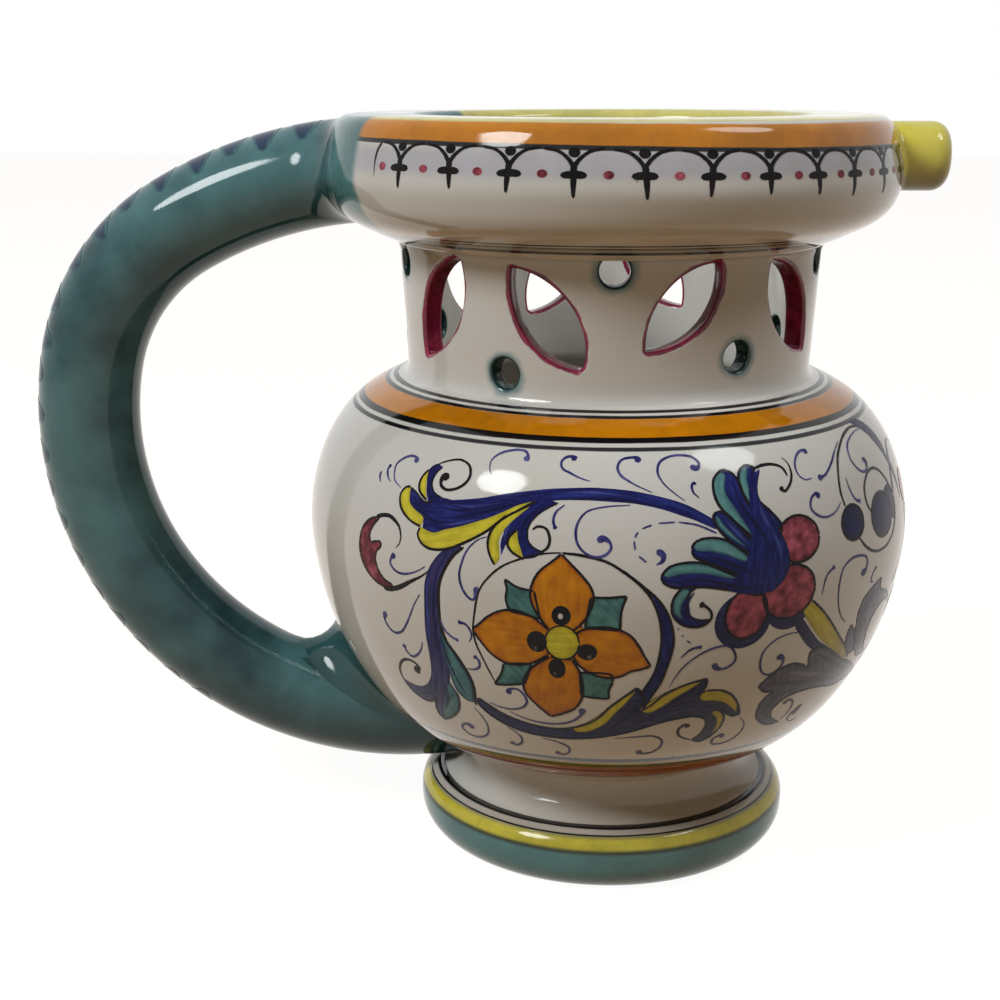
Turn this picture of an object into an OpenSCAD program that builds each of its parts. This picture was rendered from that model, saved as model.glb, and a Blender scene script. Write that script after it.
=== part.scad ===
// Puzzle jug of glazed earthenware, with a pierced neck, a hollow handle, a hollow rim and one spout.
// The drink runs from the belly up the handle, round the rim's channel and out of the spout.
// The origin is the centre of the foot's resting plane, the handle is towards -X and the spout towards +X.

/* [Foot] */
// Outer radius of the foot's rolled flange
foot_r = 36.3; // [34:0.1:40]
// Radius of the flange's rolled underside
foot_roll_r = 6.4; // [5:0.1:7]
// Radius of the flange's upper edge
foot_edge_r = 4.8; // [4.2:0.1:5.6]
// Height of the flange's top
foot_flange_h = 12.4; // [12:0.1:13.5]
// Outer radius of the foot's waist, where the belly starts
foot_waist_r = 27.2; // [26:0.1:29]
// Radius of the cove between the waist and the flange
foot_cove_r = 5; // [4:0.1:6]
// Height of the foot
foot_h = 19; // [18:0.1:24]
// Radius of the recess under the foot
foot_recess_r = 22.5; // [18:0.1:24]

/* [Belly] */
// Widest outer radius of the belly
belly_r = 57.15; // [52:0.05:65]
// Height of the belly, from the foot to the neck
belly_h = 73.6; // [66:0.1:84]
// Thickness of the belly's wall
belly_wall = 4.5; // [3.5:0.1:5.5]
// Thickness of the belly's floor
belly_floor_t = 5; // [4:0.1:7]
// Radius of the inlet that leads from the belly into the handle
inlet_r = 3.6; // [2.5:0.1:4]

/* [Neck] */
// Outer radius of the neck at the belly
neck_base_r = 37.85; // [36:0.05:40]
// Outer radius of the neck at the rim
neck_top_r = 39.3; // [38:0.1:41]
// Height of the neck
neck_h = 26.4; // [25:0.1:32]
// Thickness of the neck's wall
neck_wall = 4; // [3:0.1:5]
// Length of a leaf-shaped window, tip to tip
window_l = 21; // [16:0.1:22]
// Width of a leaf-shaped window
window_w = 9.6; // [7:0.1:11]
// Radius of a round hole
hole_r = 2.6; // [2:0.1:3]

/* [Rim] */
// Widest outer radius of the hollow rim
rim_r = 53.1; // [50:0.1:56]
// Height of the rim above the neck
rim_h = 21; // [20:0.1:25]
// How far the rim's bowl reaches down over the neck
rim_lap = 1.9; // [1.5:0.1:2.5]
// Thickness of the rim's bowl
rim_wall = 3.6; // [3:0.1:4.2]
// Thickness of the ring that closes the rim's channel
rim_cap_t = 4; // [3:0.1:4.5]
// Radius of the mouth's rounded lip
lip_r = 2.2; // [1:0.1:2.6]

/* [Handle] */
// Outer radius of the handle's tube
handle_r = 9.85; // [9:0.05:10]
// Radius of the handle's bore
handle_bore_r = 5; // [4:0.1:5.5]
// Depth of the handle's centre line below the rim's top, where it leaves the rim
handle_drop = 10.4; // [10.2:0.1:11]
// Height of the handle's centre line above the foot, where it reaches the belly
handle_lift = 3.2; // [3:0.1:4]
// Radius of the finger hole under the top of the handle
finger_hole_r = 2.5; // [2:0.1:3]
// Thickness of the coil around the handle's root
root_coil_t = 1.2; // [0.8:0.1:1.5]
// Width of the coil around the handle's root
root_coil_w = 3.5; // [2:0.1:4]

/* [Spout] */
// Outer radius of the spout
spout_r = 6.3; // [6:0.1:6.6]
// Radius of the spout's bore
spout_bore_r = 2.8; // [2:0.1:3.2]
// Distance from the rim's widest radius to the spout's tip
spout_reach = 8.5; // [7:0.1:14]
// Depth of the spout's axis below the rim's top
spout_drop = 7.6; // [7.5:0.1:8.5]
// Radius of the rounding at the spout's tip
spout_tip_r = 3.3; // [1:0.1:3.4]
// Thickness of the coil around the spout's root
spout_coil_t = 1.2; // [0.8:0.1:1.2]

/* [Hidden] */
$fn = 96;

// Overrun of every cut past the face that it opens
cut = 1;
// Steps that a curve takes between two points of its outline
curve_steps = 4;
// Steps around a lip or a rolled edge
round_steps = 10;

// Heights of the joints between the pieces
belly_z = foot_h;
neck_z = belly_z + belly_h;
rim_z = neck_z + neck_h;
top_z = rim_z + rim_h;
shell_z = rim_z - rim_lap;
cap_z = top_z - rim_cap_t;
mouth_r = neck_top_r - neck_wall;
bore_base_r = neck_base_r - neck_wall;

// The belly's flank: how far it has swelled and how high it is, below and above its widest place
belly_lower_shares = [[0, 0], [0.033, 0.014], [0.08, 0.03], [0.362, 0.08], [0.581, 0.159],
                      [0.753, 0.261], [0.891, 0.382], [0.972, 0.51], [1, 0.637]];
belly_upper_shares = [[0.925, 0.758], [0.756, 0.86], [0.497, 0.939], [0.163, 0.989], [0, 1]];

// The rim's outside in the same way, from the neck to the top
rim_shares = [[0, 0], [0.413, 0.105], [0.71, 0.2], [0.87, 0.297], [0.949, 0.393], [1, 0.502],
              [0.985, 0.616], [0.945, 0.729], [0.888, 0.843], [0.81, 0.94], [0.72, 0.985], [0.6, 1]];

// The windows are cut by hand, so each has its own drift, lean, height and size
window_first_angle = -52;
window_drifts = [2.5, 0.2, -0.5, -0.5, 1.5, -1.2, 0.8, -2, 1, -0.6];
window_leans = [32, -36, 41, -39, 35, -33, 38, -36, 34, -38];
window_lift_shares = [0.553, 0.545, 0.62, 0.565, 0.57, 0.55, 0.59, 0.56, 0.545, 0.575];
window_size_shares = [1.02, 1, 0.92, 1.03, 0.98, 1, 0.96, 1.01, 0.97, 1];

// The round holes, in an upper and a lower row
upper_hole_angles = [-71, 1.5, 73, 146, -143];
upper_hole_lift_shares = [0.81, 0.86, 0.84, 0.85, 0.83];
lower_hole_angles = [-27.5, 35.5, 108, -179, -106];
lower_hole_lift_shares = [0.17, 0.28, 0.22, 0.2, 0.25];

// The handle's bends from the rim down, as shares of its drop, and the angle of each
bend_shares = [0.763, 0.365, 0.543, 0.566];
bend_angles = [26.2, 47.9, 50.2, 66];
handle_first_heading = 183.4;
handle_last_bend = len(bend_shares) - 1;
// Angle of the last bend at which the handle's centre line is lowest
bend_low_angle = 360 - handle_first_heading - bend_angles[0] - bend_angles[1] - bend_angles[2];
// Gap between two bends, and how much fatter than the rod the knuckle over it is
bend_gap_angle = 0.1;
knuckle_t = 0.05;
// Places of the inlet on the belly's height and of the finger hole on the first bend
inlet_share = 0.073;
finger_hole_share = 0.55;
// Share of the rim's radius at which the handle's centre line starts
handle_start_share = 0.866;

// A point of a smooth curve from b to c, with its neighbours a and d
function knot(p, q) = sqrt(norm(q - p));
function mix(p, q, tp, tq, t) = ((tq - t) * p + (t - tp) * q) / (tq - tp);
function curve_point(a, b, c, d, s) =
    let (t1 = knot(a, b), t2 = t1 + knot(b, c), t3 = t2 + knot(c, d), t = t1 + s * (t2 - t1))
    let (ab = mix(a, b, 0, t1, t), bc = mix(b, c, t1, t2, t), cd = mix(c, d, t2, t3, t))
    mix(mix(ab, bc, 0, t2, t), mix(bc, cd, t1, t3, t), t1, t2, t);

// The smooth curve through all points
function before(p, i) = i > 0 ? p[i - 1] : 2 * p[0] - p[1];
function after(p, i) = i < len(p) - 2 ? p[i + 2] : 2 * p[i + 1] - p[i];
function curve(p) = [
    for (i = [0:len(p) - 2])
        for (k = [0:curve_steps - 1])
            curve_point(before(p, i), p[i], p[i + 1], after(p, i), k / curve_steps),
    p[len(p) - 1]];

// The points moved to the left of their own direction by a distance
function along(p, i) = p[min(i + 1, len(p) - 1)] - p[max(i - 1, 0)];
function inset(p, t) = [
    for (i = [0:len(p) - 1])
        let (d = along(p, i) / norm(along(p, i)))
        p[i] + t * [-d[1], d[0]]];

// An arc of points around a centre
function arc(centre, r, from, to) = [
    for (k = [0:round_steps])
        let (a = from + (to - from) * k / round_steps)
        centre + r * [cos(a), sin(a)]];

function swelled(shares, r0, r1, z0, h) = [for (s = shares) [r0 + s[0] * (r1 - r0), z0 + s[1] * h]];

// The outlines of the pieces, as radius and height
belly_line = curve(concat(swelled(belly_lower_shares, foot_waist_r, belly_r, belly_z, belly_h),
                          swelled(belly_upper_shares, neck_base_r, belly_r, belly_z, belly_h)));
belly_inside = inset(belly_line, belly_wall);
floor_z = belly_z + belly_floor_t;
rim_line = curve(swelled(rim_shares, neck_top_r, rim_r, shell_z, rim_h + rim_lap));
rim_inside = inset(rim_line, rim_wall);

// The radius of a line at a height, and the height of a line at a radius
function radius_at(line, z) = lookup(z, [for (p = line) [p[1], p[0]]]);
function height_at(line, r) = lookup(r, [for (p = line) if (p[1] < cap_z) p]);

// The foot's outline, outside the recess, from its resting face up to the waist
foot_roll_centre = [foot_r - foot_roll_r, foot_roll_r];
foot_edge_end = acos((foot_waist_r + foot_cove_r - foot_r + foot_edge_r) / foot_edge_r);
foot_edge_centre = [foot_r - foot_edge_r, foot_flange_h - foot_edge_r * sin(foot_edge_end)];
foot_cove_centre = [foot_waist_r + foot_cove_r, foot_flange_h + foot_cove_r];
foot_outside = concat(arc(foot_roll_centre, foot_roll_r, -90, 0),
                      arc(foot_edge_centre, foot_edge_r, 0, foot_edge_end),
                      arc(foot_cove_centre, foot_cove_r, 270, 180),
                      [[foot_waist_r, foot_h]]);

// The handle's centre line: a chain of arcs in the plane y = 0
handle_top = [-handle_start_share * rim_r, top_z - handle_drop];
handle_low_z = foot_h + handle_lift;
function heading(i) = i == 0 ? handle_first_heading : heading(i - 1) + bend_angles[i - 1];
function run(i, h) = bend_shares[i] * [sin(h) - sin(heading(i)), cos(heading(i)) - cos(h)];
function chain(i) = i == 0 ? [0, 0] : chain(i - 1) + run(i - 1, heading(i));
handle_unit = (handle_low_z - handle_top[1])
    / (chain(handle_last_bend) + run(handle_last_bend, heading(handle_last_bend) + bend_low_angle))[1];
function bend_r(i) = handle_unit * bend_shares[i];
function bend_centre(i) =
    handle_top + handle_unit * chain(i) + bend_r(i) * [-sin(heading(i)), cos(heading(i))];

// Puts its children at a bend's centre, turned so that +X points at the bend's start
module at_bend(i) {
    translate([bend_centre(i)[0], 0, bend_centre(i)[1]])
        rotate([90, 0, 0])
            rotate([0, 0, heading(i) - 90])
                children();
}

// A round rod along one bend, ending just short of its neighbours
module bend(i, r) {
    start = i == 0 ? 0 : bend_gap_angle;
    at_bend(i)
        rotate([0, 0, start])
            rotate_extrude(angle = bend_angles[i] - start - bend_gap_angle)
                translate([bend_r(i), 0])
                    circle(r);
}

// A round rod along the whole handle, with a slight knuckle where two bends meet
module handle_rod(r) {
    for (i = [0:handle_last_bend])
        bend(i, r);
    for (i = [1:handle_last_bend])
        at_bend(i)
            translate([bend_r(i), 0])
                sphere(r + knuckle_t);
}

// The solid outsides of the pieces that the handle and the spout are fitted to
module belly_body() {
    rotate_extrude()
        polygon(concat([[0, belly_z]], belly_line, [[0, neck_z]]));
}

module foot_body() {
    rotate_extrude()
        polygon(concat([[0, 0]], foot_outside, [[0, foot_h]]));
}

module rim_body() {
    rotate_extrude()
        polygon(concat([[0, shell_z]], rim_line, [[0, top_z]]));
}

// A leaf-shaped window's outline, standing on its tip
module leaf(l, w) {
    leaf_arc_r = (pow(l, 2) + pow(w, 2)) / (4 * w);
    intersection() {
        translate([leaf_arc_r - w / 2, 0])
            circle(leaf_arc_r);
        translate([w / 2 - leaf_arc_r, 0])
            circle(leaf_arc_r);
    }
}

// Puts a cut through the neck's wall at an angle from the front and a height share
module through_neck(angle, lift_share) {
    inner_r = bore_base_r - neck_wall;
    rotate([0, 0, angle])
        translate([0, -inner_r, neck_z + lift_share * neck_h])
            rotate([90, 0, 0])
                linear_extrude(neck_top_r - inner_r + cut)
                    children();
}

module foot() {
    color("cadetblue")
        rotate_extrude()
            polygon(concat([[foot_recess_r, 0]], foot_outside, [[foot_recess_r, foot_h]]));
}

module belly() {
    inlet_z = belly_z + inlet_share * belly_h;
    inlet_x = radius_at(belly_line, inlet_z);
    inlet_lean = atan2(radius_at(belly_line, inlet_z + inlet_r) - inlet_x, inlet_r);
    color("ivory")
        difference() {
            rotate_extrude()
                polygon(concat(
                    [[0, belly_z]],
                    belly_line,
                    [[bore_base_r, neck_z], [bore_base_r, belly_inside[len(belly_inside) - 1][1]]],
                    [for (i = [len(belly_inside) - 1:-1:0]) if (belly_inside[i][1] > floor_z) belly_inside[i]],
                    [[radius_at(belly_inside, floor_z), floor_z], [0, floor_z]]));
            translate([-inlet_x, 0, inlet_z])
                rotate([0, 90 - inlet_lean, 0])
                    cylinder(h = 2 * (belly_wall + belly_floor_t), r = inlet_r, center = true);
        }
}

module neck() {
    color("ivory")
        difference() {
            rotate_extrude()
                polygon([[bore_base_r, neck_z], [neck_base_r, neck_z], [neck_top_r, shell_z],
                         [neck_top_r, rim_z], [mouth_r, rim_z]]);
            for (i = [0:len(window_leans) - 1])
                through_neck(window_first_angle + 360 / len(window_leans) * i + window_drifts[i],
                             window_lift_shares[i])
                    rotate(-window_leans[i])
                        leaf(window_l * window_size_shares[i], window_w * window_size_shares[i]);
            for (i = [0:len(upper_hole_angles) - 1])
                through_neck(upper_hole_angles[i], upper_hole_lift_shares[i])
                    circle(hole_r);
            for (i = [0:len(lower_hole_angles) - 1])
                through_neck(lower_hole_angles[i], lower_hole_lift_shares[i])
                    circle(hole_r);
        }
}

module mouth_ring() {
    color("ivory")
        rotate_extrude()
            polygon([[mouth_r, rim_z], [neck_top_r, rim_z], [neck_top_r, cap_z], [mouth_r, cap_z]]);
}

module rim_shell() {
    color("lavender")
        difference() {
            rotate_extrude()
                polygon(concat(
                    [for (p = rim_line) if (p[1] < cap_z) p],
                    [[radius_at(rim_line, cap_z), cap_z], [radius_at(rim_inside, cap_z), cap_z]],
                    [for (i = [len(rim_inside) - 1:-1:0])
                        if (rim_inside[i][1] < cap_z && rim_inside[i][0] > neck_top_r) rim_inside[i]],
                    [[neck_top_r, height_at(rim_inside, neck_top_r)]]));
            bend(0, handle_bore_r);
            spout_bore();
        }
}

module rim_cap() {
    color("goldenrod")
        rotate_extrude()
            polygon(concat(
                [[mouth_r, cap_z], [radius_at(rim_line, cap_z), cap_z]],
                [for (p = rim_line) if (p[1] > cap_z) p],
                arc([mouth_r + lip_r, top_z - lip_r], lip_r, 90, 180)));
}

module finger_hole() {
    at_bend(0)
        rotate([0, 0, finger_hole_share * bend_angles[0]])
            translate([bend_r(0) - handle_r - cut, 0])
                rotate([0, 90, 0])
                    cylinder(h = handle_r + cut, r = finger_hole_r);
}

module handle() {
    color("cadetblue")
        difference() {
            handle_rod(handle_r);
            handle_rod(handle_bore_r);
            finger_hole();
            belly_body();
            foot_body();
            rim_body();
        }
}

module handle_root_coil() {
    color("cadetblue")
        difference() {
            intersection() {
                bend(handle_last_bend, handle_r + root_coil_t);
                rotate_extrude()
                    polygon(concat(
                        [[0, belly_z]],
                        [for (p = inset(belly_line, -root_coil_w)) if (p[1] > belly_z) p],
                        [[0, neck_z]]));
            }
            bend(handle_last_bend, handle_r);
            belly_body();
        }
}

// The spout's axis
module at_spout() {
    translate([0, 0, top_z - spout_drop])
        rotate([0, 90, 0])
            children();
}

module spout_bore() {
    at_spout()
        translate([0, 0, neck_top_r + rim_wall])
            cylinder(h = rim_r + spout_reach - neck_top_r - rim_wall + cut, r = spout_bore_r);
}

module spout() {
    tip = rim_r + spout_reach;
    color("khaki")
        difference() {
            at_spout()
                rotate_extrude()
                    polygon(concat(
                        [[0, neck_top_r], [spout_r, neck_top_r]],
                        arc([spout_r - spout_tip_r, tip - spout_tip_r], spout_tip_r, 0, 90),
                        [[0, tip]]));
            spout_bore();
            rim_body();
        }
}

module spout_coil() {
    color("khaki")
        difference() {
            at_spout()
                translate([0, 0, radius_at(rim_line, top_z - spout_drop)])
                    rotate_extrude()
                        translate([spout_r, 0])
                            circle(spout_coil_t);
            at_spout()
                cylinder(h = rim_r + spout_reach, r = spout_r);
            rim_body();
        }
}

foot();
belly();
neck();
mouth_ring();
rim_shell();
rim_cap();
handle();
handle_root_coil();
spout();
spout_coil();
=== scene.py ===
"""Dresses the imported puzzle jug: smooth glazed shells, brush-painted ornament, a plain studio and the camera.

All sizes are in millimetres until a mesh is made. A turn is an angle in degrees around the jug's axis,
from the painted front towards the spout, and a height is measured from the table.
"""
import logging
import math
from dataclasses import dataclass, field
from enum import Enum
from typing import Callable, Optional, Sequence

import bpy
import numpy as np
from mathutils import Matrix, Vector
from mathutils.geometry import delaunay_2d_cdt


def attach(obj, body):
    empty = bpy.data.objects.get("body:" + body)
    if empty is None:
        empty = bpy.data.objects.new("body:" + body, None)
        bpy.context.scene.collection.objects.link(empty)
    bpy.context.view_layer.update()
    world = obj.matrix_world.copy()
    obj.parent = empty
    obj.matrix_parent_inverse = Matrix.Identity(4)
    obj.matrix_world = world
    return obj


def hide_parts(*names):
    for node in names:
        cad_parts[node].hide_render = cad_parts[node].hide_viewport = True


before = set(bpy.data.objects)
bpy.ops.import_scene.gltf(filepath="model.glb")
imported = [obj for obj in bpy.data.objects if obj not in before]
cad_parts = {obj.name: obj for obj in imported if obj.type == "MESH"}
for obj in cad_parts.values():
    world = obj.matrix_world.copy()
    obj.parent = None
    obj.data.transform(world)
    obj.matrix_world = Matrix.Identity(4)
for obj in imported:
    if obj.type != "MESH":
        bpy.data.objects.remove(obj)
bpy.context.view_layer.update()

LOG = logging.getLogger("puzzle_jug")

MM = 0.001
AXIS_GAP = 0.4
FAR = 99.0
BODY = "root"

Points = Sequence[Sequence[float]]
Colour = tuple[float, float, float]


def paint_tone(red: float, green: float, blue: float) -> Colour:
    """Turn a colour chart's 0 to 255 reading into the linear colour that a shader takes.

    Args:
        red: Red reading.
        green: Green reading.
        blue: Blue reading.

    Returns:
        The linear colour.
    """
    readings = (red / 255, green / 255, blue / 255)
    return tuple(r / 12.92 if r <= 0.04045 else ((r + 0.055) / 1.055) ** 2.4 for r in readings)


def paint_tones(*readings: Sequence[float]) -> tuple[Colour, ...]:
    """Turn several of a colour chart's readings into linear colours."""
    return tuple(paint_tone(*reading) for reading in readings)


def smooth_curve(points: Points, steps: int) -> np.ndarray:
    """Run a centripetal spline through points, as the part's source does.

    Args:
        points: The points that the curve passes through.
        steps: Steps from each point to the next.

    Returns:
        The curve's points, one a row.
    """
    given = np.asarray(points, dtype=float)
    ends = (2 * given[0] - given[1], 2 * given[-1] - given[-2])
    path = np.vstack([ends[0], given, ends[1]])
    made = []
    for a, b, c, d in zip(path, path[1:], path[2:], path[3:]):
        pairs = ((a, b), (b, c), (c, d))
        knots = np.cumsum([0.0] + [math.sqrt(np.linalg.norm(q - p)) + 1e-9 for p, q in pairs])
        for step in range(steps):
            t = knots[1] + (knots[2] - knots[1]) * step / steps
            ab, bc, cd = (
                ((knots[i + 1] - t) * p + (t - knots[i]) * q) / (knots[i + 1] - knots[i])
                for i, (p, q) in enumerate(pairs)
            )
            abc = ((knots[2] - t) * ab + (t - knots[0]) * bc) / (knots[2] - knots[0])
            bcd = ((knots[3] - t) * bc + (t - knots[1]) * cd) / (knots[3] - knots[1])
            made.append(((knots[2] - t) * abc + (t - knots[1]) * bcd) / (knots[2] - knots[1]))
    made.append(given[-1])
    return np.array(made)


def arc(centre: Sequence[float], radius: float, start: float, end: float, steps: int = 10) -> np.ndarray:
    """Give points along an arc.

    Args:
        centre: The arc's centre.
        radius: The arc's radius.
        start: Angle of the first point in degrees.
        end: Angle of the last point in degrees.
        steps: Steps along the arc.

    Returns:
        The arc's points, one a row.
    """
    angles = np.radians(np.linspace(start, end, steps + 1))
    return np.asarray(centre) + radius * np.stack([np.cos(angles), np.sin(angles)], axis=1)


def resampled(path: np.ndarray, spacing: float) -> np.ndarray:
    """Space a path's points evenly.

    Args:
        path: The path's points.
        spacing: Wanted distance from point to point.

    Returns:
        The evenly spaced points.
    """
    lengths = np.linalg.norm(np.diff(path, axis=0), axis=1)
    run = np.concatenate([[0.0], np.cumsum(lengths)])
    count = max(2, int(math.ceil(run[-1] / spacing)) + 1)
    wanted = np.linspace(0.0, run[-1], count)
    return np.stack([np.interp(wanted, run, path[:, i]) for i in range(path.shape[1])], axis=1)


@dataclass(frozen=True)
class Form:
    """The jug's sizes, as in the part's source."""

    foot_r: float = 36.3
    foot_roll_r: float = 6.4
    foot_edge_r: float = 4.8
    foot_flange_h: float = 12.4
    foot_waist_r: float = 27.2
    foot_cove_r: float = 5.0
    foot_h: float = 19.0
    foot_recess_r: float = 22.5
    belly_r: float = 57.15
    belly_h: float = 73.6
    belly_wall: float = 4.5
    belly_floor_t: float = 5.0
    neck_base_r: float = 37.85
    neck_top_r: float = 39.3
    neck_h: float = 26.4
    neck_wall: float = 4.0
    window_l: float = 21.0
    window_w: float = 9.6
    hole_r: float = 2.6
    rim_r: float = 53.1
    rim_h: float = 21.0
    rim_lap: float = 1.9
    rim_wall: float = 3.6
    rim_cap_t: float = 4.0
    lip_r: float = 2.2
    handle_r: float = 9.85
    handle_bore_r: float = 5.0
    handle_drop: float = 10.4
    handle_lift: float = 3.2
    spout_r: float = 6.3
    spout_bore_r: float = 2.8
    spout_reach: float = 8.5
    spout_drop: float = 7.6
    spout_tip_r: float = 3.3
    paint_room: float = 0.1

    @property
    def neck_z(self) -> float:
        """Height of the joint between belly and neck."""
        return self.foot_h + self.belly_h

    @property
    def rim_z(self) -> float:
        """Height of the neck's top."""
        return self.neck_z + self.neck_h

    @property
    def top_z(self) -> float:
        """Height of the rim's top."""
        return self.rim_z + self.rim_h

    @property
    def shell_z(self) -> float:
        """Height at which the rim's bowl starts."""
        return self.rim_z - self.rim_lap

    @property
    def cap_z(self) -> float:
        """Height of the joint under the rim's closing ring."""
        return self.top_z - self.rim_cap_t

    @property
    def mouth_r(self) -> float:
        """Radius of the mouth."""
        return self.neck_top_r - self.neck_wall

    @property
    def bore_base_r(self) -> float:
        """Radius of the neck's inside at the belly."""
        return self.neck_base_r - self.neck_wall


BELLY_LOWER_SHARES = (
    (0, 0), (0.033, 0.014), (0.08, 0.03), (0.362, 0.08), (0.581, 0.159),
    (0.753, 0.261), (0.891, 0.382), (0.972, 0.51), (1, 0.637),
)
BELLY_UPPER_SHARES = ((0.925, 0.758), (0.756, 0.86), (0.497, 0.939), (0.163, 0.989), (0, 1))
RIM_SHARES = (
    (0, 0), (0.413, 0.105), (0.71, 0.2), (0.87, 0.297), (0.949, 0.393), (1, 0.502),
    (0.985, 0.616), (0.945, 0.729), (0.888, 0.843), (0.81, 0.94), (0.72, 0.985), (0.6, 1),
)
CURVE_STEPS = 6
TURN_STEPS = 288
UNPAINTED_RUN = -100.0


def swelled(
    shares: Points, inner_r: float, outer_r: float, base_z: float, height: float,
) -> list[Sequence[float]]:
    """Turn an outline's shares into radius and height points."""
    return [(inner_r + swell * (outer_r - inner_r), base_z + rise * height) for swell, rise in shares]


class Outline:
    """A lathe outline of radius and height points, with its outside on the right of its direction."""

    def __init__(self, points: np.ndarray) -> None:
        """Keep the points and work out the run along them and the outward normals."""
        self.points = np.asarray(points, dtype=float)
        steps = np.diff(self.points, axis=0)
        lengths = np.linalg.norm(steps, axis=1)
        self.run = np.concatenate([[0.0], np.cumsum(lengths)])
        self.side = np.stack([steps[:, 1], -steps[:, 0]], axis=1) / lengths[:, None]
        before = np.vstack([self.side[:1], self.side])
        after = np.vstack([self.side, self.side[-1:]])
        weight = np.concatenate([[1.0], lengths])[:, None]
        mean = before * np.concatenate([lengths, [1.0]])[:, None] + after * weight
        self.normals = mean / np.linalg.norm(mean, axis=1)[:, None]

    def inset(self, depth: float) -> "Outline":
        """Give the outline moved inwards by a depth."""
        return Outline(self.points - depth * self.normals)

    def between(self, low: float, high: float) -> "Outline":
        """Give the part of a rising outline between two heights, with a point at each."""
        inside = (self.points[:, 1] > low + 0.01) & (self.points[:, 1] < high - 0.01)
        ends = [[[self.radius_at(z), z]] for z in (low, high)]
        return Outline(np.vstack([ends[0], self.points[inside], ends[1]]))

    def radius_at(self, height: float) -> float:
        """Give the radius at a height of a rising outline."""
        return float(np.interp(height, self.points[:, 1], self.points[:, 0]))

    def run_at(self, height: float) -> float:
        """Give the run along a rising outline at a height."""
        return float(np.interp(height, self.points[:, 1], self.run))

    def near(self, spots: np.ndarray) -> tuple[np.ndarray, np.ndarray]:
        """Find how far points in space lie outside the turned body.

        Args:
            spots: Points in space, one a row.

        Returns:
            The signed distances and the outward directions in space.
        """
        flat = np.stack([np.hypot(spots[:, 0], spots[:, 1]), spots[:, 2]], axis=1)
        start = self.points[:-1]
        step = np.diff(self.points, axis=0)
        away = flat[:, None, :] - start[None]
        share = np.clip((away * step).sum(2) / (step * step).sum(1), 0, 1)
        gap = away - share[..., None] * step
        distance = np.linalg.norm(gap, axis=2)
        best = distance.argmin(axis=1)
        rows = np.arange(len(flat))
        nearest = gap[rows, best]
        sign = np.where((nearest * self.side[best]).sum(1) >= 0, 1.0, -1.0)
        size = np.maximum(distance[rows, best], 1e-9)
        flat_normal = nearest / size[:, None] * sign[:, None]
        radial = spots[:, :2] / np.maximum(flat[:, :1], 1e-9)
        normal = np.column_stack([radial * flat_normal[:, :1], flat_normal[:, 1]])
        return sign * size, normal


def softened(points: np.ndarray, corner: int, reach: float, steps: int = 6) -> np.ndarray:
    """Round one corner of an outline with a small curve.

    Args:
        points: The outline's points.
        corner: Index of the corner's point.
        reach: How far from the corner the rounding starts.
        steps: Steps of the rounding.

    Returns:
        The outline with its corner rounded.
    """
    line = Outline(points)
    start, end = (line.run[corner] - reach, line.run[corner] + reach)
    at = [np.array([np.interp(s, line.run, points[:, k]) for k in (0, 1)]) for s in (start, end)]
    shares = np.linspace(0, 1, steps + 1)[:, None]
    bend = (1 - shares) ** 2 * at[0] + 2 * shares * (1 - shares) * points[corner] + shares**2 * at[1]
    return np.vstack([points[line.run < start - 0.01], bend, points[line.run > end + 0.01]])


class Shapes:
    """The smooth outlines that every piece of the jug shares."""

    def __init__(self, form: Form) -> None:
        """Build the outlines from the sizes."""
        self.form = form
        foot = self.foot_outline()
        widest = form.belly_r - form.paint_room
        belly = smooth_curve(
            swelled(BELLY_LOWER_SHARES, form.foot_waist_r, widest, form.foot_h, form.belly_h)
            + swelled(BELLY_UPPER_SHARES, form.neck_base_r, widest, form.foot_h, form.belly_h),
            CURVE_STEPS,
        )
        rim = smooth_curve(
            swelled(RIM_SHARES, form.neck_top_r, form.rim_r, form.shell_z, form.rim_h + form.rim_lap),
            CURVE_STEPS,
        )
        neck = np.array([[form.neck_base_r, form.neck_z], [form.neck_top_r, form.shell_z]])
        neck_line = resampled(neck, 1.0)
        joined = np.vstack([foot[:-1], belly[:-1], neck_line[:-1], rim])
        corner = len(foot) - 1 + len(belly) - 1
        under_rim = corner + len(neck_line) - 1
        joined = softened(joined, under_rim, 1.3)
        joined = softened(joined, corner, 1.6)
        self.skin = Outline(joined)
        self.belly_bare = Outline(belly)
        self.rim_bare = Outline(rim)

    def foot_outline(self) -> np.ndarray:
        """Give the foot's outside, from its contact ring up to the waist."""
        form = self.form
        roll = (form.foot_r - form.foot_roll_r, form.foot_roll_r)
        cove_r = form.foot_waist_r + form.foot_cove_r
        end = math.degrees(math.acos((cove_r - form.foot_r + form.foot_edge_r) / form.foot_edge_r))
        edge_z = form.foot_flange_h - form.foot_edge_r * math.sin(math.radians(end))
        edge = (form.foot_r - form.foot_edge_r, edge_z)
        cove = (cove_r, form.foot_flange_h + form.foot_cove_r)
        return np.vstack([
            arc(roll, form.foot_roll_r, -90, 0, 12),
            arc(edge, form.foot_edge_r, 0, end, 12),
            arc(cove, form.foot_cove_r, 270, 180, 12),
            [[form.foot_waist_r, form.foot_h]],
        ])


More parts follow.
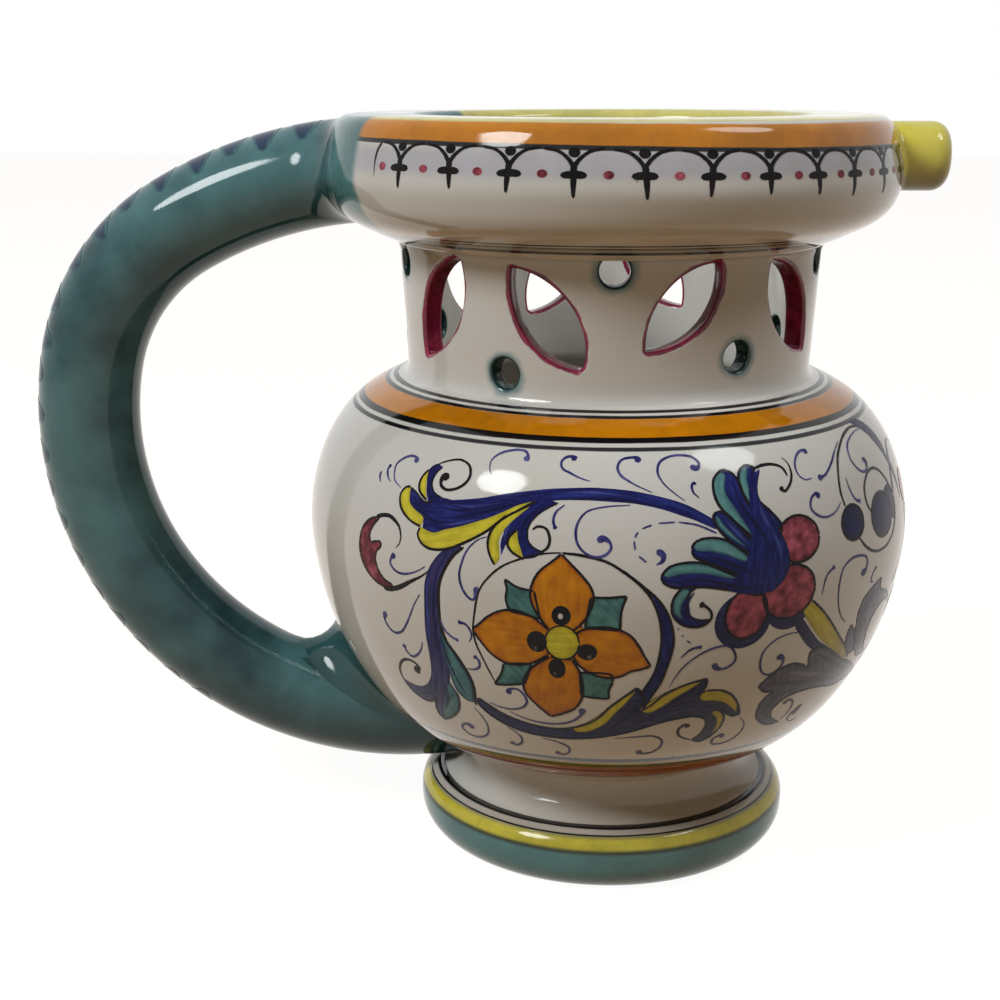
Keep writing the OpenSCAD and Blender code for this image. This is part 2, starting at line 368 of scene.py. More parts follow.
class Builder:
    """Gathers points, faces, normals and named values for one mesh."""

    def __init__(self) -> None:
        """Start empty."""
        self.points: list[np.ndarray] = []
        self.normals: list[np.ndarray] = []
        self.faces: list[tuple[int, ...]] = []
        self.values: dict[str, list[np.ndarray]] = {}
        self.count = 0

    def add(self, points: np.ndarray, normals: Optional[np.ndarray] = None, **values: np.ndarray) -> int:
        """Add points with their values.

        Args:
            points: Points in millimetres, one a row.
            normals: Outward directions, if they are known.
            values: One number a point for each named value.

        Returns:
            The index of the first new point.
        """
        first = self.count
        self.points.append(np.asarray(points, dtype=float))
        self.normals.append(np.zeros_like(points) if normals is None else normals)
        for name, numbers in values.items():
            self.values.setdefault(name, [np.zeros(first)] if first else []).append(np.asarray(numbers, float))
        self.count += len(points)
        for name, parts in self.values.items():
            missing = self.count - sum(len(part) for part in parts)
            if missing:
                parts.append(np.zeros(missing))
        return first

    def grid(self, first: int, rows: int, columns: int, closed: bool = False, looped: bool = False) -> None:
        """Join a grid of points with four-sided faces.

        Args:
            first: Index of the grid's first point.
            rows: Number of rows.
            columns: Number of points in a row.
            closed: Whether each row closes on itself.
            looped: Whether the last row joins the first.
        """
        for row in range(rows if looped else rows - 1):
            low = first + row * columns
            high = first + (row + 1) % rows * columns
            for column in range(columns if closed else columns - 1):
                following = (column + 1) % columns
                self.faces.append((low + column, low + following, high + following, high + column))

    def join(self, near: np.ndarray, far: np.ndarray) -> None:
        """Join two closed rings of points, given by their indices, with four-sided faces."""
        self.faces.extend(zip(near, np.roll(near, -1), np.roll(far, -1), far))

    def build(self, name: str, smooth_by: Optional[float] = None) -> bpy.types.Object:
        """Make the mesh object, in metres.

        Args:
            name: The piece's name.
            smooth_by: Angle in degrees over which an edge stays sharp, or None to use the given normals.

        Returns:
            The new object.
        """
        mesh = bpy.data.meshes.new(name)
        points = np.vstack(self.points) * MM
        mesh.from_pydata(points.tolist(), [], self.faces)
        for label, parts in self.values.items():
            layer = mesh.attributes.new(label, "FLOAT", "POINT")
            layer.data.foreach_set("value", np.concatenate(parts).astype(np.float32))
        mesh.polygons.foreach_set("use_smooth", [True] * len(mesh.polygons))
        mesh.validate()
        if smooth_by is None:
            mesh.normals_split_custom_set_from_vertices(np.vstack(self.normals).tolist())
        else:
            mesh.set_sharp_from_angle(angle=math.radians(smooth_by))
        piece = bpy.data.objects.new(name, mesh)
        bpy.context.scene.collection.objects.link(piece)
        return piece


def lathe_places(points: np.ndarray, turns: np.ndarray) -> np.ndarray:
    """Give the places of outline points at each turn, outline point by outline point."""
    angles = np.radians(turns)
    radius = points[:, :1]
    places = np.stack([
        radius * np.sin(angles),
        -radius * np.cos(angles),
        np.repeat(points[:, 1:], len(turns), axis=1),
    ], axis=2)
    return places.reshape(-1, 3)


def turned_piece(
    name: str, runs: Sequence[Outline], first_run: float = 0.0, steps: int = TURN_STEPS,
) -> bpy.types.Object:
    """Turn a closed ring of outlines into one piece, with a sharp edge where two of them meet.

    Args:
        name: The piece's name.
        runs: The outlines in order, each starting where the one before it ends. The first is the painted one.
        first_run: The jug's own run at the first outline's start.
        steps: Steps around the axis.

    Returns:
        The new object. Its value "run" is the jug's run on the painted outline, and its value "away" is the
        angle from the handle's side.
    """
    turns = np.arange(steps) * 360 / steps
    away = np.abs((turns - 90) % 360 - 180)
    builder = Builder()
    for number, line in enumerate(runs):
        places = lathe_places(line.points, turns)
        run = np.full(len(line.run), UNPAINTED_RUN) if number else line.run + first_run
        first = builder.add(
            places, lathe_places(line.normals, turns), run=np.repeat(run, steps), away=np.tile(away, len(run)))
        builder.grid(first, len(line.points), steps, closed=True)
        last = first + (len(line.points) - 1) * steps
        if line.points[-1, 0] < AXIS_GAP * 2:
            builder.faces.append(tuple(range(last, last + steps)))
        if line.points[0, 0] < AXIS_GAP * 2:
            builder.faces.append(tuple(range(first + steps - 1, first - 1, -1)))
    return builder.build(name)


def add_value(piece: bpy.types.Object, name: str, measure: Callable[[np.ndarray], np.ndarray]) -> None:
    """Add a named value to a finished piece.

    Args:
        piece: The piece.
        name: The value's name.
        measure: Gives the value of each place, in millimetres.
    """
    mesh = piece.data
    spots = np.empty(len(mesh.vertices) * 3)
    mesh.vertices.foreach_get("co", spots)
    layer = mesh.attributes.new(name, "FLOAT", "POINT")
    layer.data.foreach_set("value", measure(spots.reshape(-1, 3) / MM).astype(np.float32))


def straight(*points: Sequence[float], spacing: float = 2.0) -> Outline:
    """Give the outline that runs straight from point to point."""
    return Outline(resampled(np.array(points, dtype=float), spacing))


def is_inside(loop: np.ndarray, spots: np.ndarray) -> np.ndarray:
    """Tell which spots lie inside a closed loop.

    Args:
        loop: The loop's points.
        spots: The points to test.

    Returns:
        True for each spot inside.
    """
    x, y = spots[:, 0][:, None], spots[:, 1][:, None]
    ax, ay = loop[:, 0], loop[:, 1]
    bx, by = np.roll(ax, -1), np.roll(ay, -1)
    rise = np.where(by == ay, 1e-12, by - ay)
    crossed = ((ay > y) != (by > y)) & (x < (bx - ax) * (y - ay) / rise + ax)
    return crossed.sum(axis=1) % 2 == 1


def loop_distance(loop: np.ndarray, spots: np.ndarray) -> np.ndarray:
    """Give each spot's distance from a closed loop.

    Args:
        loop: The loop's points.
        spots: The points to measure from.

    Returns:
        The distances.
    """
    step = np.roll(loop, -1, axis=0) - loop
    away = spots[:, None, :] - loop[None]
    share = np.clip((away * step).sum(2) / np.maximum((step * step).sum(1), 1e-12), 0, 1)
    return np.linalg.norm(away - share[..., None] * step, axis=2).min(axis=1)


def lattice(low: Sequence[float], high: Sequence[float], spacing: float) -> np.ndarray:
    """Give a staggered lattice of points over a rectangle."""
    rows = []
    for i, y in enumerate(np.arange(low[1] + spacing * 0.5, high[1], spacing * 0.87)):
        line = np.arange(low[0] + spacing * (0.25 + 0.5 * (i % 2)), high[0], spacing)
        rows.append(np.column_stack([line, np.full(len(line), y)]))
    return np.vstack(rows)


def meshed(loops: Sequence[np.ndarray], loose: np.ndarray) -> tuple[np.ndarray, np.ndarray, list[np.ndarray]]:
    """Triangulate the plane between closed loops and loose points.

    Args:
        loops: Closed loops whose edges the triangles keep.
        loose: Points between the loops.

    Returns:
        The points, the triangles and, for each loop, its points' indices.
    """
    starts = np.cumsum([0] + [len(loop) for loop in loops])
    edges = [
        (int(start) + i, int(start) + (i + 1) % len(loop))
        for start, loop in zip(starts, loops)
        for i in range(len(loop))
    ]
    given = np.vstack([*loops, loose])
    made = delaunay_2d_cdt([Vector(p) for p in given.tolist()], edges, [], 0, 1e-6)
    index = np.zeros(len(given), dtype=int)
    for new, sources in enumerate(made[3]):
        for source in sources:
            index[source] = new
    points = np.array([tuple(p) for p in made[0]])
    triangles = np.array([tuple(face) for face in made[2]])
    return points, triangles, [index[start:start + len(loop)] for start, loop in zip(starts, loops)]


@dataclass(frozen=True)
class Opening:
    """A hole through the neck: a leaf if it is longer than wide, and round if not.

    Its own plane has x to the right and y up, as seen from outside.
    """

    turn: float
    height: float
    length: float
    width: float
    lean: float = 0.0
    corner_r: float = 0.7
    waver: float = 0.12

    @property
    def is_leaf(self) -> bool:
        """Whether the hole is a leaf-shaped window."""
        return self.length > self.width

    def loop(self, grow: float) -> np.ndarray:
        """Give the hole's edge, grown outwards.

        Args:
            grow: Distance by which the edge moves outwards.

        Returns:
            The edge's points in the hole's own plane.
        """
        if not self.is_leaf:
            angles = np.radians(np.arange(24) * 15.0)
            return (self.width / 2 + grow) * np.stack([np.cos(angles), np.sin(angles)], axis=1)
        radius = (self.length**2 + self.width**2) / (4 * self.width)
        shift = radius - self.width / 2
        side_r = radius - self.corner_r
        tip = math.degrees(math.acos(shift / side_r))
        tip_y = side_r * math.sin(math.radians(tip))
        bases, angles = [], []
        for side in (0, 180):
            for angle in np.linspace(side - tip, side + tip, 17)[:-1]:
                turn = math.radians(angle)
                centre_x = -shift if side == 0 else shift
                bases.append((centre_x + side_r * math.cos(turn), side_r * math.sin(turn)))
                angles.append(turn)
            for angle in np.linspace(side + tip, side + 180 - tip, 7)[:-1]:
                bases.append((0.0, tip_y if side == 0 else -tip_y))
                angles.append(math.radians(angle))
        away = np.stack([np.cos(angles), np.sin(angles)], axis=1)
        waver = self.waver * np.sin(3 * np.array(angles) + self.turn)[:, None]
        loop = np.array(bases) + (self.corner_r + grow + waver) * away
        lean = math.radians(-self.lean)
        spin = np.array([[math.cos(lean), math.sin(lean)], [-math.sin(lean), math.cos(lean)]])
        return loop @ spin


@dataclass
class Foot:
    """The turned foot with its rolled flange and the recess under it."""

    form: Form
    shapes: Shapes
    edge_r: float = 0.8

    def build(self) -> bpy.types.Object:
        """Build the foot's smooth shell.

        Returns:
            The foot.
        """
        form, edge = self.form, self.edge_r
        outside = self.shapes.skin.between(-1.0, form.foot_h)
        points = outside.points[1:]
        waist = points[-1, 0]
        rounded = arc((form.foot_recess_r + edge, edge), edge, 180, 270, 5)
        recess = resampled(np.array([[form.foot_recess_r, form.foot_h], rounded[0]]), 2.0)
        wall = np.vstack([recess[:-1], rounded])
        under = np.array([rounded[-1], points[0]])
        line = Outline(np.vstack([wall, resampled(under, 1.5)[1:-1], points]))
        closing = straight((waist, form.foot_h), (form.foot_recess_r, form.foot_h))
        return turned_piece("foot_glaze", [line, closing], -line.run[-len(points)])


@dataclass
class Belly:
    """The thrown belly with its floor."""

    form: Form
    shapes: Shapes

    def build(self) -> bpy.types.Object:
        """Build the belly's smooth shell.

        Returns:
            The belly.
        """
        form = self.form
        outside = self.shapes.skin.between(form.foot_h, form.neck_z)
        floor_z = form.foot_h + form.belly_floor_t
        inner = self.shapes.belly_bare.inset(form.belly_wall).points
        inner = inner[(inner[:, 1] > floor_z + 1.0) & (inner[:, 1] < form.neck_z - form.belly_wall * 1.06)]
        bed = np.vstack([
            [[AXIS_GAP, floor_z]],
            resampled(np.array([[AXIS_GAP, floor_z], [inner[0, 0] - 5, floor_z]]), 2.0)[1:],
            inner,
            [[form.bore_base_r + 0.4, form.neck_z - form.belly_wall * 0.92]],
            [[form.bore_base_r, form.neck_z - form.belly_wall * 0.7]],
            [[form.bore_base_r, form.neck_z]],
        ])
        inside = Outline(resampled(smooth_curve(bed, 3), 1.2)[::-1])
        return turned_piece("belly_glaze", [
            outside,
            straight((outside.points[-1, 0], form.neck_z), (form.bore_base_r, form.neck_z)),
            inside,
            straight((AXIS_GAP, form.foot_h), (outside.points[0, 0], form.foot_h)),
        ], self.shapes.skin.run_at(form.foot_h))


WINDOW_FIRST_TURN = -52.0
WINDOW_DRIFTS = (2.5, 0.2, -0.5, -0.5, 1.5, -1.2, 0.8, -2, 1, -0.6)
WINDOW_LEANS = (32, -36, 41, -39, 35, -33, 38, -36, 34, -38)
WINDOW_LIFT_SHARES = (0.553, 0.545, 0.62, 0.565, 0.57, 0.55, 0.59, 0.56, 0.545, 0.575)
WINDOW_SIZE_SHARES = (1.02, 1, 0.92, 1.03, 0.98, 1, 0.96, 1.01, 0.97, 1)
UPPER_HOLES = ((-71, 0.81), (1.5, 0.86), (73, 0.84), (146, 0.85), (-143, 0.83))
LOWER_HOLES = ((-27.5, 0.17), (35.5, 0.28), (108, 0.22), (-179, 0.2), (-106, 0.25))


@dataclass
class Neck:
    """The pierced neck, with the rounded, glazed edges of its windows and holes."""

    form: Form
    shapes: Shapes
    spacing: float = 1.5
    edge_r: float = 0.9
    halo_steps: tuple[float, ...] = (0.9, 1.5, 2.3)
    edge_steps: int = 5
    border_steps: int = 180
    border_gap: float = 0.4
    border_room: float = 0.6
    loop_room: float = 0.55
    loop_reach: float = 16.0
    paint_turn: float = 40.0
    openings: list[Opening] = field(default_factory=list)

    def __post_init__(self) -> None:
        """Place the openings as the part's source does."""
        form = self.form
        count = len(WINDOW_LEANS)
        for i, (drift, lean, lift, size) in enumerate(
            zip(WINDOW_DRIFTS, WINDOW_LEANS, WINDOW_LIFT_SHARES, WINDOW_SIZE_SHARES)
        ):
            turn = WINDOW_FIRST_TURN + 360 / count * i + drift
            height = form.neck_z + lift * form.neck_h
            self.openings.append(Opening(turn, height, form.window_l * size, form.window_w * size, lean))
        for turn, lift in UPPER_HOLES + LOWER_HOLES:
            height = form.neck_z + lift * form.neck_h
            self.openings.append(Opening(turn, height, 2 * form.hole_r, 2 * form.hole_r))

    @property
    def scale(self) -> float:
        """Millimetres in a degree around the neck's top."""
        return math.radians(1) * self.form.neck_top_r

    def wall_r(self, height: np.ndarray, inner: bool) -> np.ndarray:
        """Give the wall's inner or outer radius at heights, also where the rim's bowl hides it."""
        form, skin = self.form, self.shapes.skin
        if inner:
            return np.interp(height, (form.neck_z, form.rim_z), (form.bore_base_r, form.mouth_r))
        bare = np.interp(height, skin.points[:, 1], skin.points[:, 0])
        return np.where(height > form.shell_z, form.neck_top_r, bare)

    def on_wall(self, opening: Opening, loop: np.ndarray, inner: bool) -> np.ndarray:
        """Turn a loop in an opening's plane into turns and heights on the wall.

        Args:
            opening: The opening.
            loop: The loop in the opening's own plane.
            inner: Whether the wall's inside is meant.

        Returns:
            The loop as turns and heights.
        """
        height = opening.height + loop[:, 1]
        off = np.degrees(np.arcsin(loop[:, 0] / self.wall_r(height, inner)))
        return np.column_stack([opening.turn + off, height])

    def through(self, opening: Opening, loop: np.ndarray, depth: float, inner: bool) -> np.ndarray:
        """Give a loop's places at a depth below the outer or the inner surface.

        Args:
            opening: The opening.
            loop: The loop in the opening's own plane.
            depth: Depth below the surface, along the cut.
            inner: Whether the depth is measured from the wall's inside.

        Returns:
            The places in millimetres.
        """
        height = opening.height + loop[:, 1]
        radius = self.wall_r(height, inner)
        out = np.sqrt(radius**2 - loop[:, 0] ** 2) + (depth if inner else -depth)
        turn = math.radians(opening.turn)
        along = np.array([math.cos(turn), math.sin(turn), 0])
        away = np.array([math.sin(turn), -math.cos(turn), 0])
        return loop[:, :1] * along + out[:, None] * away + height[:, None] * np.array([0, 0, 1])

    def paint_gaps(self, turns: np.ndarray, heights: np.ndarray) -> tuple[np.ndarray, np.ndarray]:
        """Measure how far places on the wall lie from the nearest window and round hole."""
        gaps = {True: np.full(len(turns), FAR), False: np.full(len(turns), FAR)}
        radius = self.wall_r(heights, False)
        for opening in self.openings:
            off = (turns - opening.turn + 180) % 360 - 180
            close = np.abs(off) < self.paint_turn
            across = radius[close] * np.sin(np.radians(off[close]))
            flat = np.column_stack([across, heights[close] - opening.height])
            distance = loop_distance(opening.loop(0.0), flat)
            gaps[opening.is_leaf][close] = np.minimum(gaps[opening.is_leaf][close], distance)
        return gaps[True], gaps[False]

    def sheet(self, builder: Builder, inner: bool) -> tuple[list[np.ndarray], list[np.ndarray]]:
        """Add one side of the wall, pierced by its openings.

        Args:
            builder: The mesh that takes the sheet.
            inner: Whether the wall's inside is made.

        Returns:
            The indices of the border's lower and upper points, and of each opening's innermost loop.
        """
        form = self.form
        turns = np.arange(self.border_steps) * 360 / self.border_steps
        borders = [np.column_stack([turns, np.full(len(turns), z)]) for z in (form.neck_z, form.rim_z)]
        steps = self.halo_steps[:1] if inner else self.halo_steps
        loops, owner_at = [], []
        for opening in self.openings:
            room = min(opening.height - form.neck_z, form.rim_z - opening.height) - self.border_gap
            owner_at.append(len(loops))
            for grow in steps:
                loop = opening.loop(grow)
                if grow == steps[0] or np.abs(loop[:, 1]).max() < room:
                    loops.append(self.on_wall(opening, loop, inner))
        spare = lattice((0, form.neck_z), (360 * self.scale, form.rim_z), self.spacing)
        low, high = form.neck_z + self.border_room, form.rim_z - self.border_room
        spare = spare[(spare[:, 1] > low) & (spare[:, 1] < high)]
        spare[:, 0] /= self.scale
        for loop in loops:
            spare = spare[~self.covered(loop, spare, self.loop_room)]
        rolled = [self.rolled(loop) for loop in [*borders, *loops]]
        flat, triangles, indices = meshed(rolled, self.rolled(spare))
        turn, height = self.unrolled(flat).T
        middles = self.unrolled(flat[triangles].mean(axis=1))
        solid = ~np.isin(triangles, indices[0]).all(axis=1)
        for at in owner_at:
            solid &= ~self.covered(loops[at], middles)
        radius, angle = self.wall_r(height, inner), np.radians(turn)
        places = np.column_stack([radius * np.sin(angle), -radius * np.cos(angle), height])
        leaf_gap, hole_gap = (gap + FAR * inner for gap in self.paint_gaps(turn, height))
        run = np.interp(height, self.shapes.skin.points[:, 1], self.shapes.skin.run)
        first = builder.add(places, leaf_gap=leaf_gap, hole_gap=hole_gap, run=run)
        for a, b, c in triangles[solid] + first:
            builder.faces.append((a, c, b) if inner else (a, b, c))
        return [ring + first for ring in indices[:2]], [indices[2 + at] + first for at in owner_at]

    def rolled(self, wall: np.ndarray) -> np.ndarray:
        """Roll turns and heights out into a flat ring, in which every small shape keeps its angles."""
        form = self.form
        radius = form.neck_top_r * np.exp((wall[:, 1] - form.neck_z) / form.neck_top_r)
        angle = np.radians(wall[:, 0])
        return np.column_stack([radius * np.cos(angle), radius * np.sin(angle)])

    def unrolled(self, flat: np.ndarray) -> np.ndarray:
        """Turn places in the flat ring back into turns and heights."""
        form = self.form
        height = form.neck_z + form.neck_top_r * np.log(np.hypot(*flat.T) / form.neck_top_r)
        return np.column_stack([np.degrees(np.arctan2(flat[:, 1], flat[:, 0])), height])

    def covered(self, loop: np.ndarray, wall: np.ndarray, room: float = 0.0) -> np.ndarray:
        """Tell which places on the wall a loop covers.

        Args:
            loop: The loop, as turns and heights.
            wall: The places, as turns and heights.
            room: How near to the loop a place outside it is covered too.

        Returns:
            True for each covered place.
        """
        turn, height = loop.mean(axis=0)
        off = (wall[:, 0] - turn + 180) % 360 - 180
        near = np.column_stack([off * self.scale, wall[:, 1]])
        close = np.abs(near - (0, height)).max(axis=1) < self.loop_reach
        edge = (loop - (turn, 0)) * (self.scale, 1)
        covered = np.zeros(len(wall), dtype=bool)
        covered[close] = is_inside(edge, near[close])
        if room:
            covered[close] |= loop_distance(edge, near[close]) < room
        return covered

    def build(self) -> bpy.types.Object:
        """Build the neck's pierced wall.

        Returns:
            The neck.
        """
        builder = Builder()
        outer_border, outer_loops = self.sheet(builder, inner=False)
        inner_border, inner_loops = self.sheet(builder, inner=True)
        bend = [math.radians(90 * k / self.edge_steps) for k in range(1, self.edge_steps + 1)]
        rows = [(self.edge_r * (1 - math.sin(a)), self.edge_r * (1 - math.cos(a))) for a in bend]
        for opening, outer, inner in zip(self.openings, outer_loops, inner_loops):
            rings = [outer]
            for is_inner, order in ((False, rows), (True, rows[::-1])):
                for grow, depth in order:
                    places = self.through(opening, opening.loop(grow), depth, is_inner)
                    gap = np.full(len(places), grow - depth)
                    far = np.full(len(places), FAR)
                    leaf_gap, hole_gap = (gap, far) if opening.is_leaf else (far, gap)
                    first = builder.add(places, leaf_gap=leaf_gap, hole_gap=hole_gap)
                    rings.append(np.arange(first, first + len(places)))
            rings.append(inner)
            for near, far in zip(rings, rings[1:]):
                builder.join(near, far)
        builder.join(inner_border[0], outer_border[0])
        builder.join(outer_border[1], inner_border[1])
        return builder.build("neck_glaze", smooth_by=50)


@dataclass
class Rim:
    """The hollow rim: its bowl, the ring that closes it and the mouth's wall."""

    form: Form
    shapes: Shapes

    def build_bowl(self) -> bpy.types.Object:
        """Build the rim's outer bowl."""
        form = self.form
        outside = self.shapes.skin.between(form.shell_z, form.cap_z)
        inner = self.shapes.rim_bare.inset(form.rim_wall).points
        inner = inner[(inner[:, 1] < form.cap_z - 0.2) & (inner[:, 0] > form.neck_top_r + 0.2)]
        inner_r = inner[-1, 0]
        bed = np.vstack([[[inner_r, form.cap_z]], inner[::-1], [[form.neck_top_r, inner[0, 1] - 0.1]]])
        return turned_piece("rim_bowl_glaze", [
            outside,
            straight((outside.points[-1, 0], form.cap_z), (inner_r, form.cap_z)),
            Outline(bed),
            straight(bed[-1], (form.neck_top_r, form.shell_z)),
        ], self.shapes.skin.run_at(form.shell_z))

    def build_top(self) -> bpy.types.Object:
        """Build the ring that closes the rim, with its rounded lip."""
        form, skin = self.form, self.shapes.skin
        side = skin.points[skin.points[:, 1] > form.cap_z + 0.01]
        start = [[skin.radius_at(form.cap_z), form.cap_z]]
        lip = arc((form.mouth_r + form.lip_r, form.top_z - form.lip_r), form.lip_r, 90, 180, 8)
        flat = resampled(np.array([side[-1], lip[0]]), 1.5)[1:-1]
        over = Outline(np.vstack([start, side, flat, lip, [[form.mouth_r, form.cap_z]]]))
        under = straight((form.mouth_r, form.cap_z), start[0])
        return turned_piece("rim_top_glaze", [over, under], skin.run_at(form.cap_z))

    def build_mouth(self) -> bpy.types.Object:
        """Build the inner wall of the rim."""
        form = self.form
        return turned_piece("mouth_wall_glaze", [
            straight((form.neck_top_r, form.rim_z), (form.neck_top_r, form.cap_z)),
            straight((form.neck_top_r, form.cap_z), (form.mouth_r, form.cap_z)),
            straight((form.mouth_r, form.cap_z), (form.mouth_r, form.rim_z)),
            straight((form.mouth_r, form.rim_z), (form.neck_top_r, form.rim_z)),
        ], UNPAINTED_RUN)


BEND_SHARES = (0.763, 0.365, 0.543, 0.566)
BEND_ANGLES = (26.2, 47.9, 50.2, 66.0)
HANDLE_FIRST_HEADING = 183.4
HANDLE_START_SHARE = 0.866


class HandleLine:
    """The handle's centre line: a chain of arcs in the plane y = 0, from the rim down to the belly."""

    def __init__(self, form: Form, spacing: float = 0.25) -> None:
        """Work out the arcs' radii from the handle's drop and sample them."""
        start = np.array([-HANDLE_START_SHARE * form.rim_r, form.top_z - form.handle_drop])
        headings = HANDLE_FIRST_HEADING + np.concatenate([[0.0], np.cumsum(BEND_ANGLES)])
        low = list(headings[:-1]) + [360.0]
        drop = sum(
            share * (math.cos(math.radians(a)) - math.cos(math.radians(b)))
            for share, a, b in zip(BEND_SHARES, low, low[1:])
        )
        unit = (form.foot_h + form.handle_lift - start[1]) / drop
        places, ways = [start], [headings[0]]
        for share, a, b in zip(BEND_SHARES, headings, headings[1:]):
            radius = share * unit
            count = int(math.ceil(radius * math.radians(b - a) / spacing))
            origin = places[-1]
            for way in np.linspace(a, b, count + 1)[1:]:
                one, two = math.radians(way), math.radians(a)
                step = (math.sin(one) - math.sin(two), math.cos(two) - math.cos(one))
                places.append(origin + radius * np.array(step))
                ways.append(way)
        self.places = np.array(places)
        self.ways = np.array(ways)
        self.run = np.concatenate([[0.0], np.cumsum(np.linalg.norm(np.diff(self.places, axis=0), axis=1))])
        self.length = float(self.run[-1])

    def place(self, run: np.ndarray, around: np.ndarray, radius: np.ndarray) -> tuple[np.ndarray, np.ndarray]:
        """Give places around the centre line.

        Args:
            run: Runs along the line.
            around: Angles around it in degrees, 0 on the inner side, -90 towards the front.
            radius: Distances from the line.

        Returns:
            The places and the outward directions.
        """
        x = np.interp(run, self.run, self.places[:, 0])
        z = np.interp(run, self.run, self.places[:, 1])
        way = np.radians(np.interp(run, self.run, self.ways))
        turn = np.radians(around)
        out = np.column_stack([-np.sin(way) * np.cos(turn), np.sin(turn), np.cos(way) * np.cos(turn)])
        return np.column_stack([x, np.zeros_like(x), z]) + np.asarray(radius)[:, None] * out, out

    def gap(self, spots: np.ndarray) -> np.ndarray:
        """Give each spot's distance from the line."""
        path = np.column_stack([self.places[::4, 0], np.zeros(len(self.places[::4])), self.places[::4, 1]])
        nearest = np.full(len(spots), np.inf)
        for start in range(0, len(path), 20):
            part = np.linalg.norm(spots[:, None] - path[None, start:start + 20], axis=2).min(axis=1)
            nearest = np.minimum(nearest, part)
        return nearest


def turned_towards(first: np.ndarray, second: np.ndarray, shares: np.ndarray) -> np.ndarray:
    """Swing unit directions from first to second, row by row, by each share."""
    angle = np.arccos(np.clip((first * second).sum(axis=1), -1, 1))[:, None, None]
    share = shares[None, :, None]
    size = np.maximum(np.sin(angle), 1e-6)
    return (np.sin((1 - share) * angle) * first[:, None] + np.sin(share * angle) * second[:, None]) / size


class SpoutLine:
    """The spout's straight centre line, from the jug's axis outwards."""

    def __init__(self, form: Form) -> None:
        """Keep the line's height."""
        self.height = form.top_z - form.spout_drop

    def place(self, run: np.ndarray, around: np.ndarray, radius: np.ndarray) -> tuple[np.ndarray, np.ndarray]:
        """Give places around the line, and the outward directions there."""
        turn = np.radians(around)
        out = np.column_stack([np.zeros_like(turn), np.sin(turn), np.cos(turn)])
        centre = np.column_stack([run, np.zeros_like(turn), np.full_like(turn, self.height)])
        return centre + np.asarray(radius)[:, None] * out, out


class Blend:
    """The fillet that a ball leaves when it rolls around the corner between a tube and the turned body."""

    def __init__(
        self, line: HandleLine | SpoutLine, skin: Outline, tube_r: float,
        ball_r: np.ndarray, clear_run: float, hidden_run: float,
    ) -> None:
        """Find where the ball touches both, at each angle around the tube.

        Args:
            line: The tube's centre line.
            skin: The body's outline.
            tube_r: The tube's radius.
            ball_r: The ball's radius at each angle.
            clear_run: A run at which the ball is clear of the body.
            hidden_run: A run at which the tube lies inside the body.
        """
        count = len(ball_r)
        self.around = np.arange(count) * 360 / count
        self.ball_r = ball_r
        tries = np.linspace(clear_run, hidden_run, 60)
        low = np.full(count, clear_run)
        high = np.full(count, hidden_run)
        found = np.zeros(count, dtype=bool)
        for near, far in zip(tries, tries[1:]):
            places, _ = line.place(np.full(count, far), self.around, tube_r + ball_r)
            touched = (skin.near(places)[0] < ball_r) & ~found
            low[touched], high[touched] = near, far
            found |= touched
        for _ in range(24):
            middle = (low + high) / 2
            places, _ = line.place(middle, self.around, tube_r + ball_r)
            clear = skin.near(places)[0] > ball_r
            low, high = np.where(clear, middle, low), np.where(clear, high, middle)
        self.contact = (low + high) / 2
        self.centre, self.tube_way = line.place(self.contact, self.around, tube_r + ball_r)
        self.body_way = skin.near(self.centre)[1]

    def rows(self, steps: int) -> tuple[np.ndarray, np.ndarray]:
        """Give the fillet's rows from the tube to the body.

        Args:
            steps: Steps from the tube to the body.

        Returns:
            The places and the outward directions, row by row.
        """
        ways = turned_towards(self.tube_way, self.body_way, np.linspace(0, 1, steps + 1)).transpose(1, 0, 2)
        return self.centre[None] - self.ball_r[None, :, None] * ways, ways

    def root(self) -> np.ndarray:
        """Give the row inside the corner that the fillet covers."""
        middle = self.tube_way + self.body_way
        half = np.linalg.norm(middle, axis=1)[:, None] / 2
        reach = self.ball_r[:, None] / np.maximum(half, 0.2) + 0.3
        return self.centre - middle / (2 * half) * reach

    def coil(self, name: str, steps: int, flip: bool) -> bpy.types.Object:
        """Build the fillet as a closed ring of its own.

        Args:
            name: The piece's name.
            steps: Steps from the tube to the body.
            flip: Whether the faces are turned over.

        Returns:
            The new object.
        """
        builder = Builder()
        places, ways = self.rows(steps)
        # lift is how far the fillet faces up; the handle's and the spout's glazes paint shade where it is low.
        builder.add(places.reshape(-1, 3), ways.reshape(-1, 3), lift=ways.reshape(-1, 3)[:, 2])
        builder.add(self.root(), -(self.tube_way + self.body_way))
        builder.grid(0, steps + 2, len(self.ball_r), closed=True, looped=True)
        if flip:
            builder.faces = [face[::-1] for face in builder.faces]
        return builder.build(name)


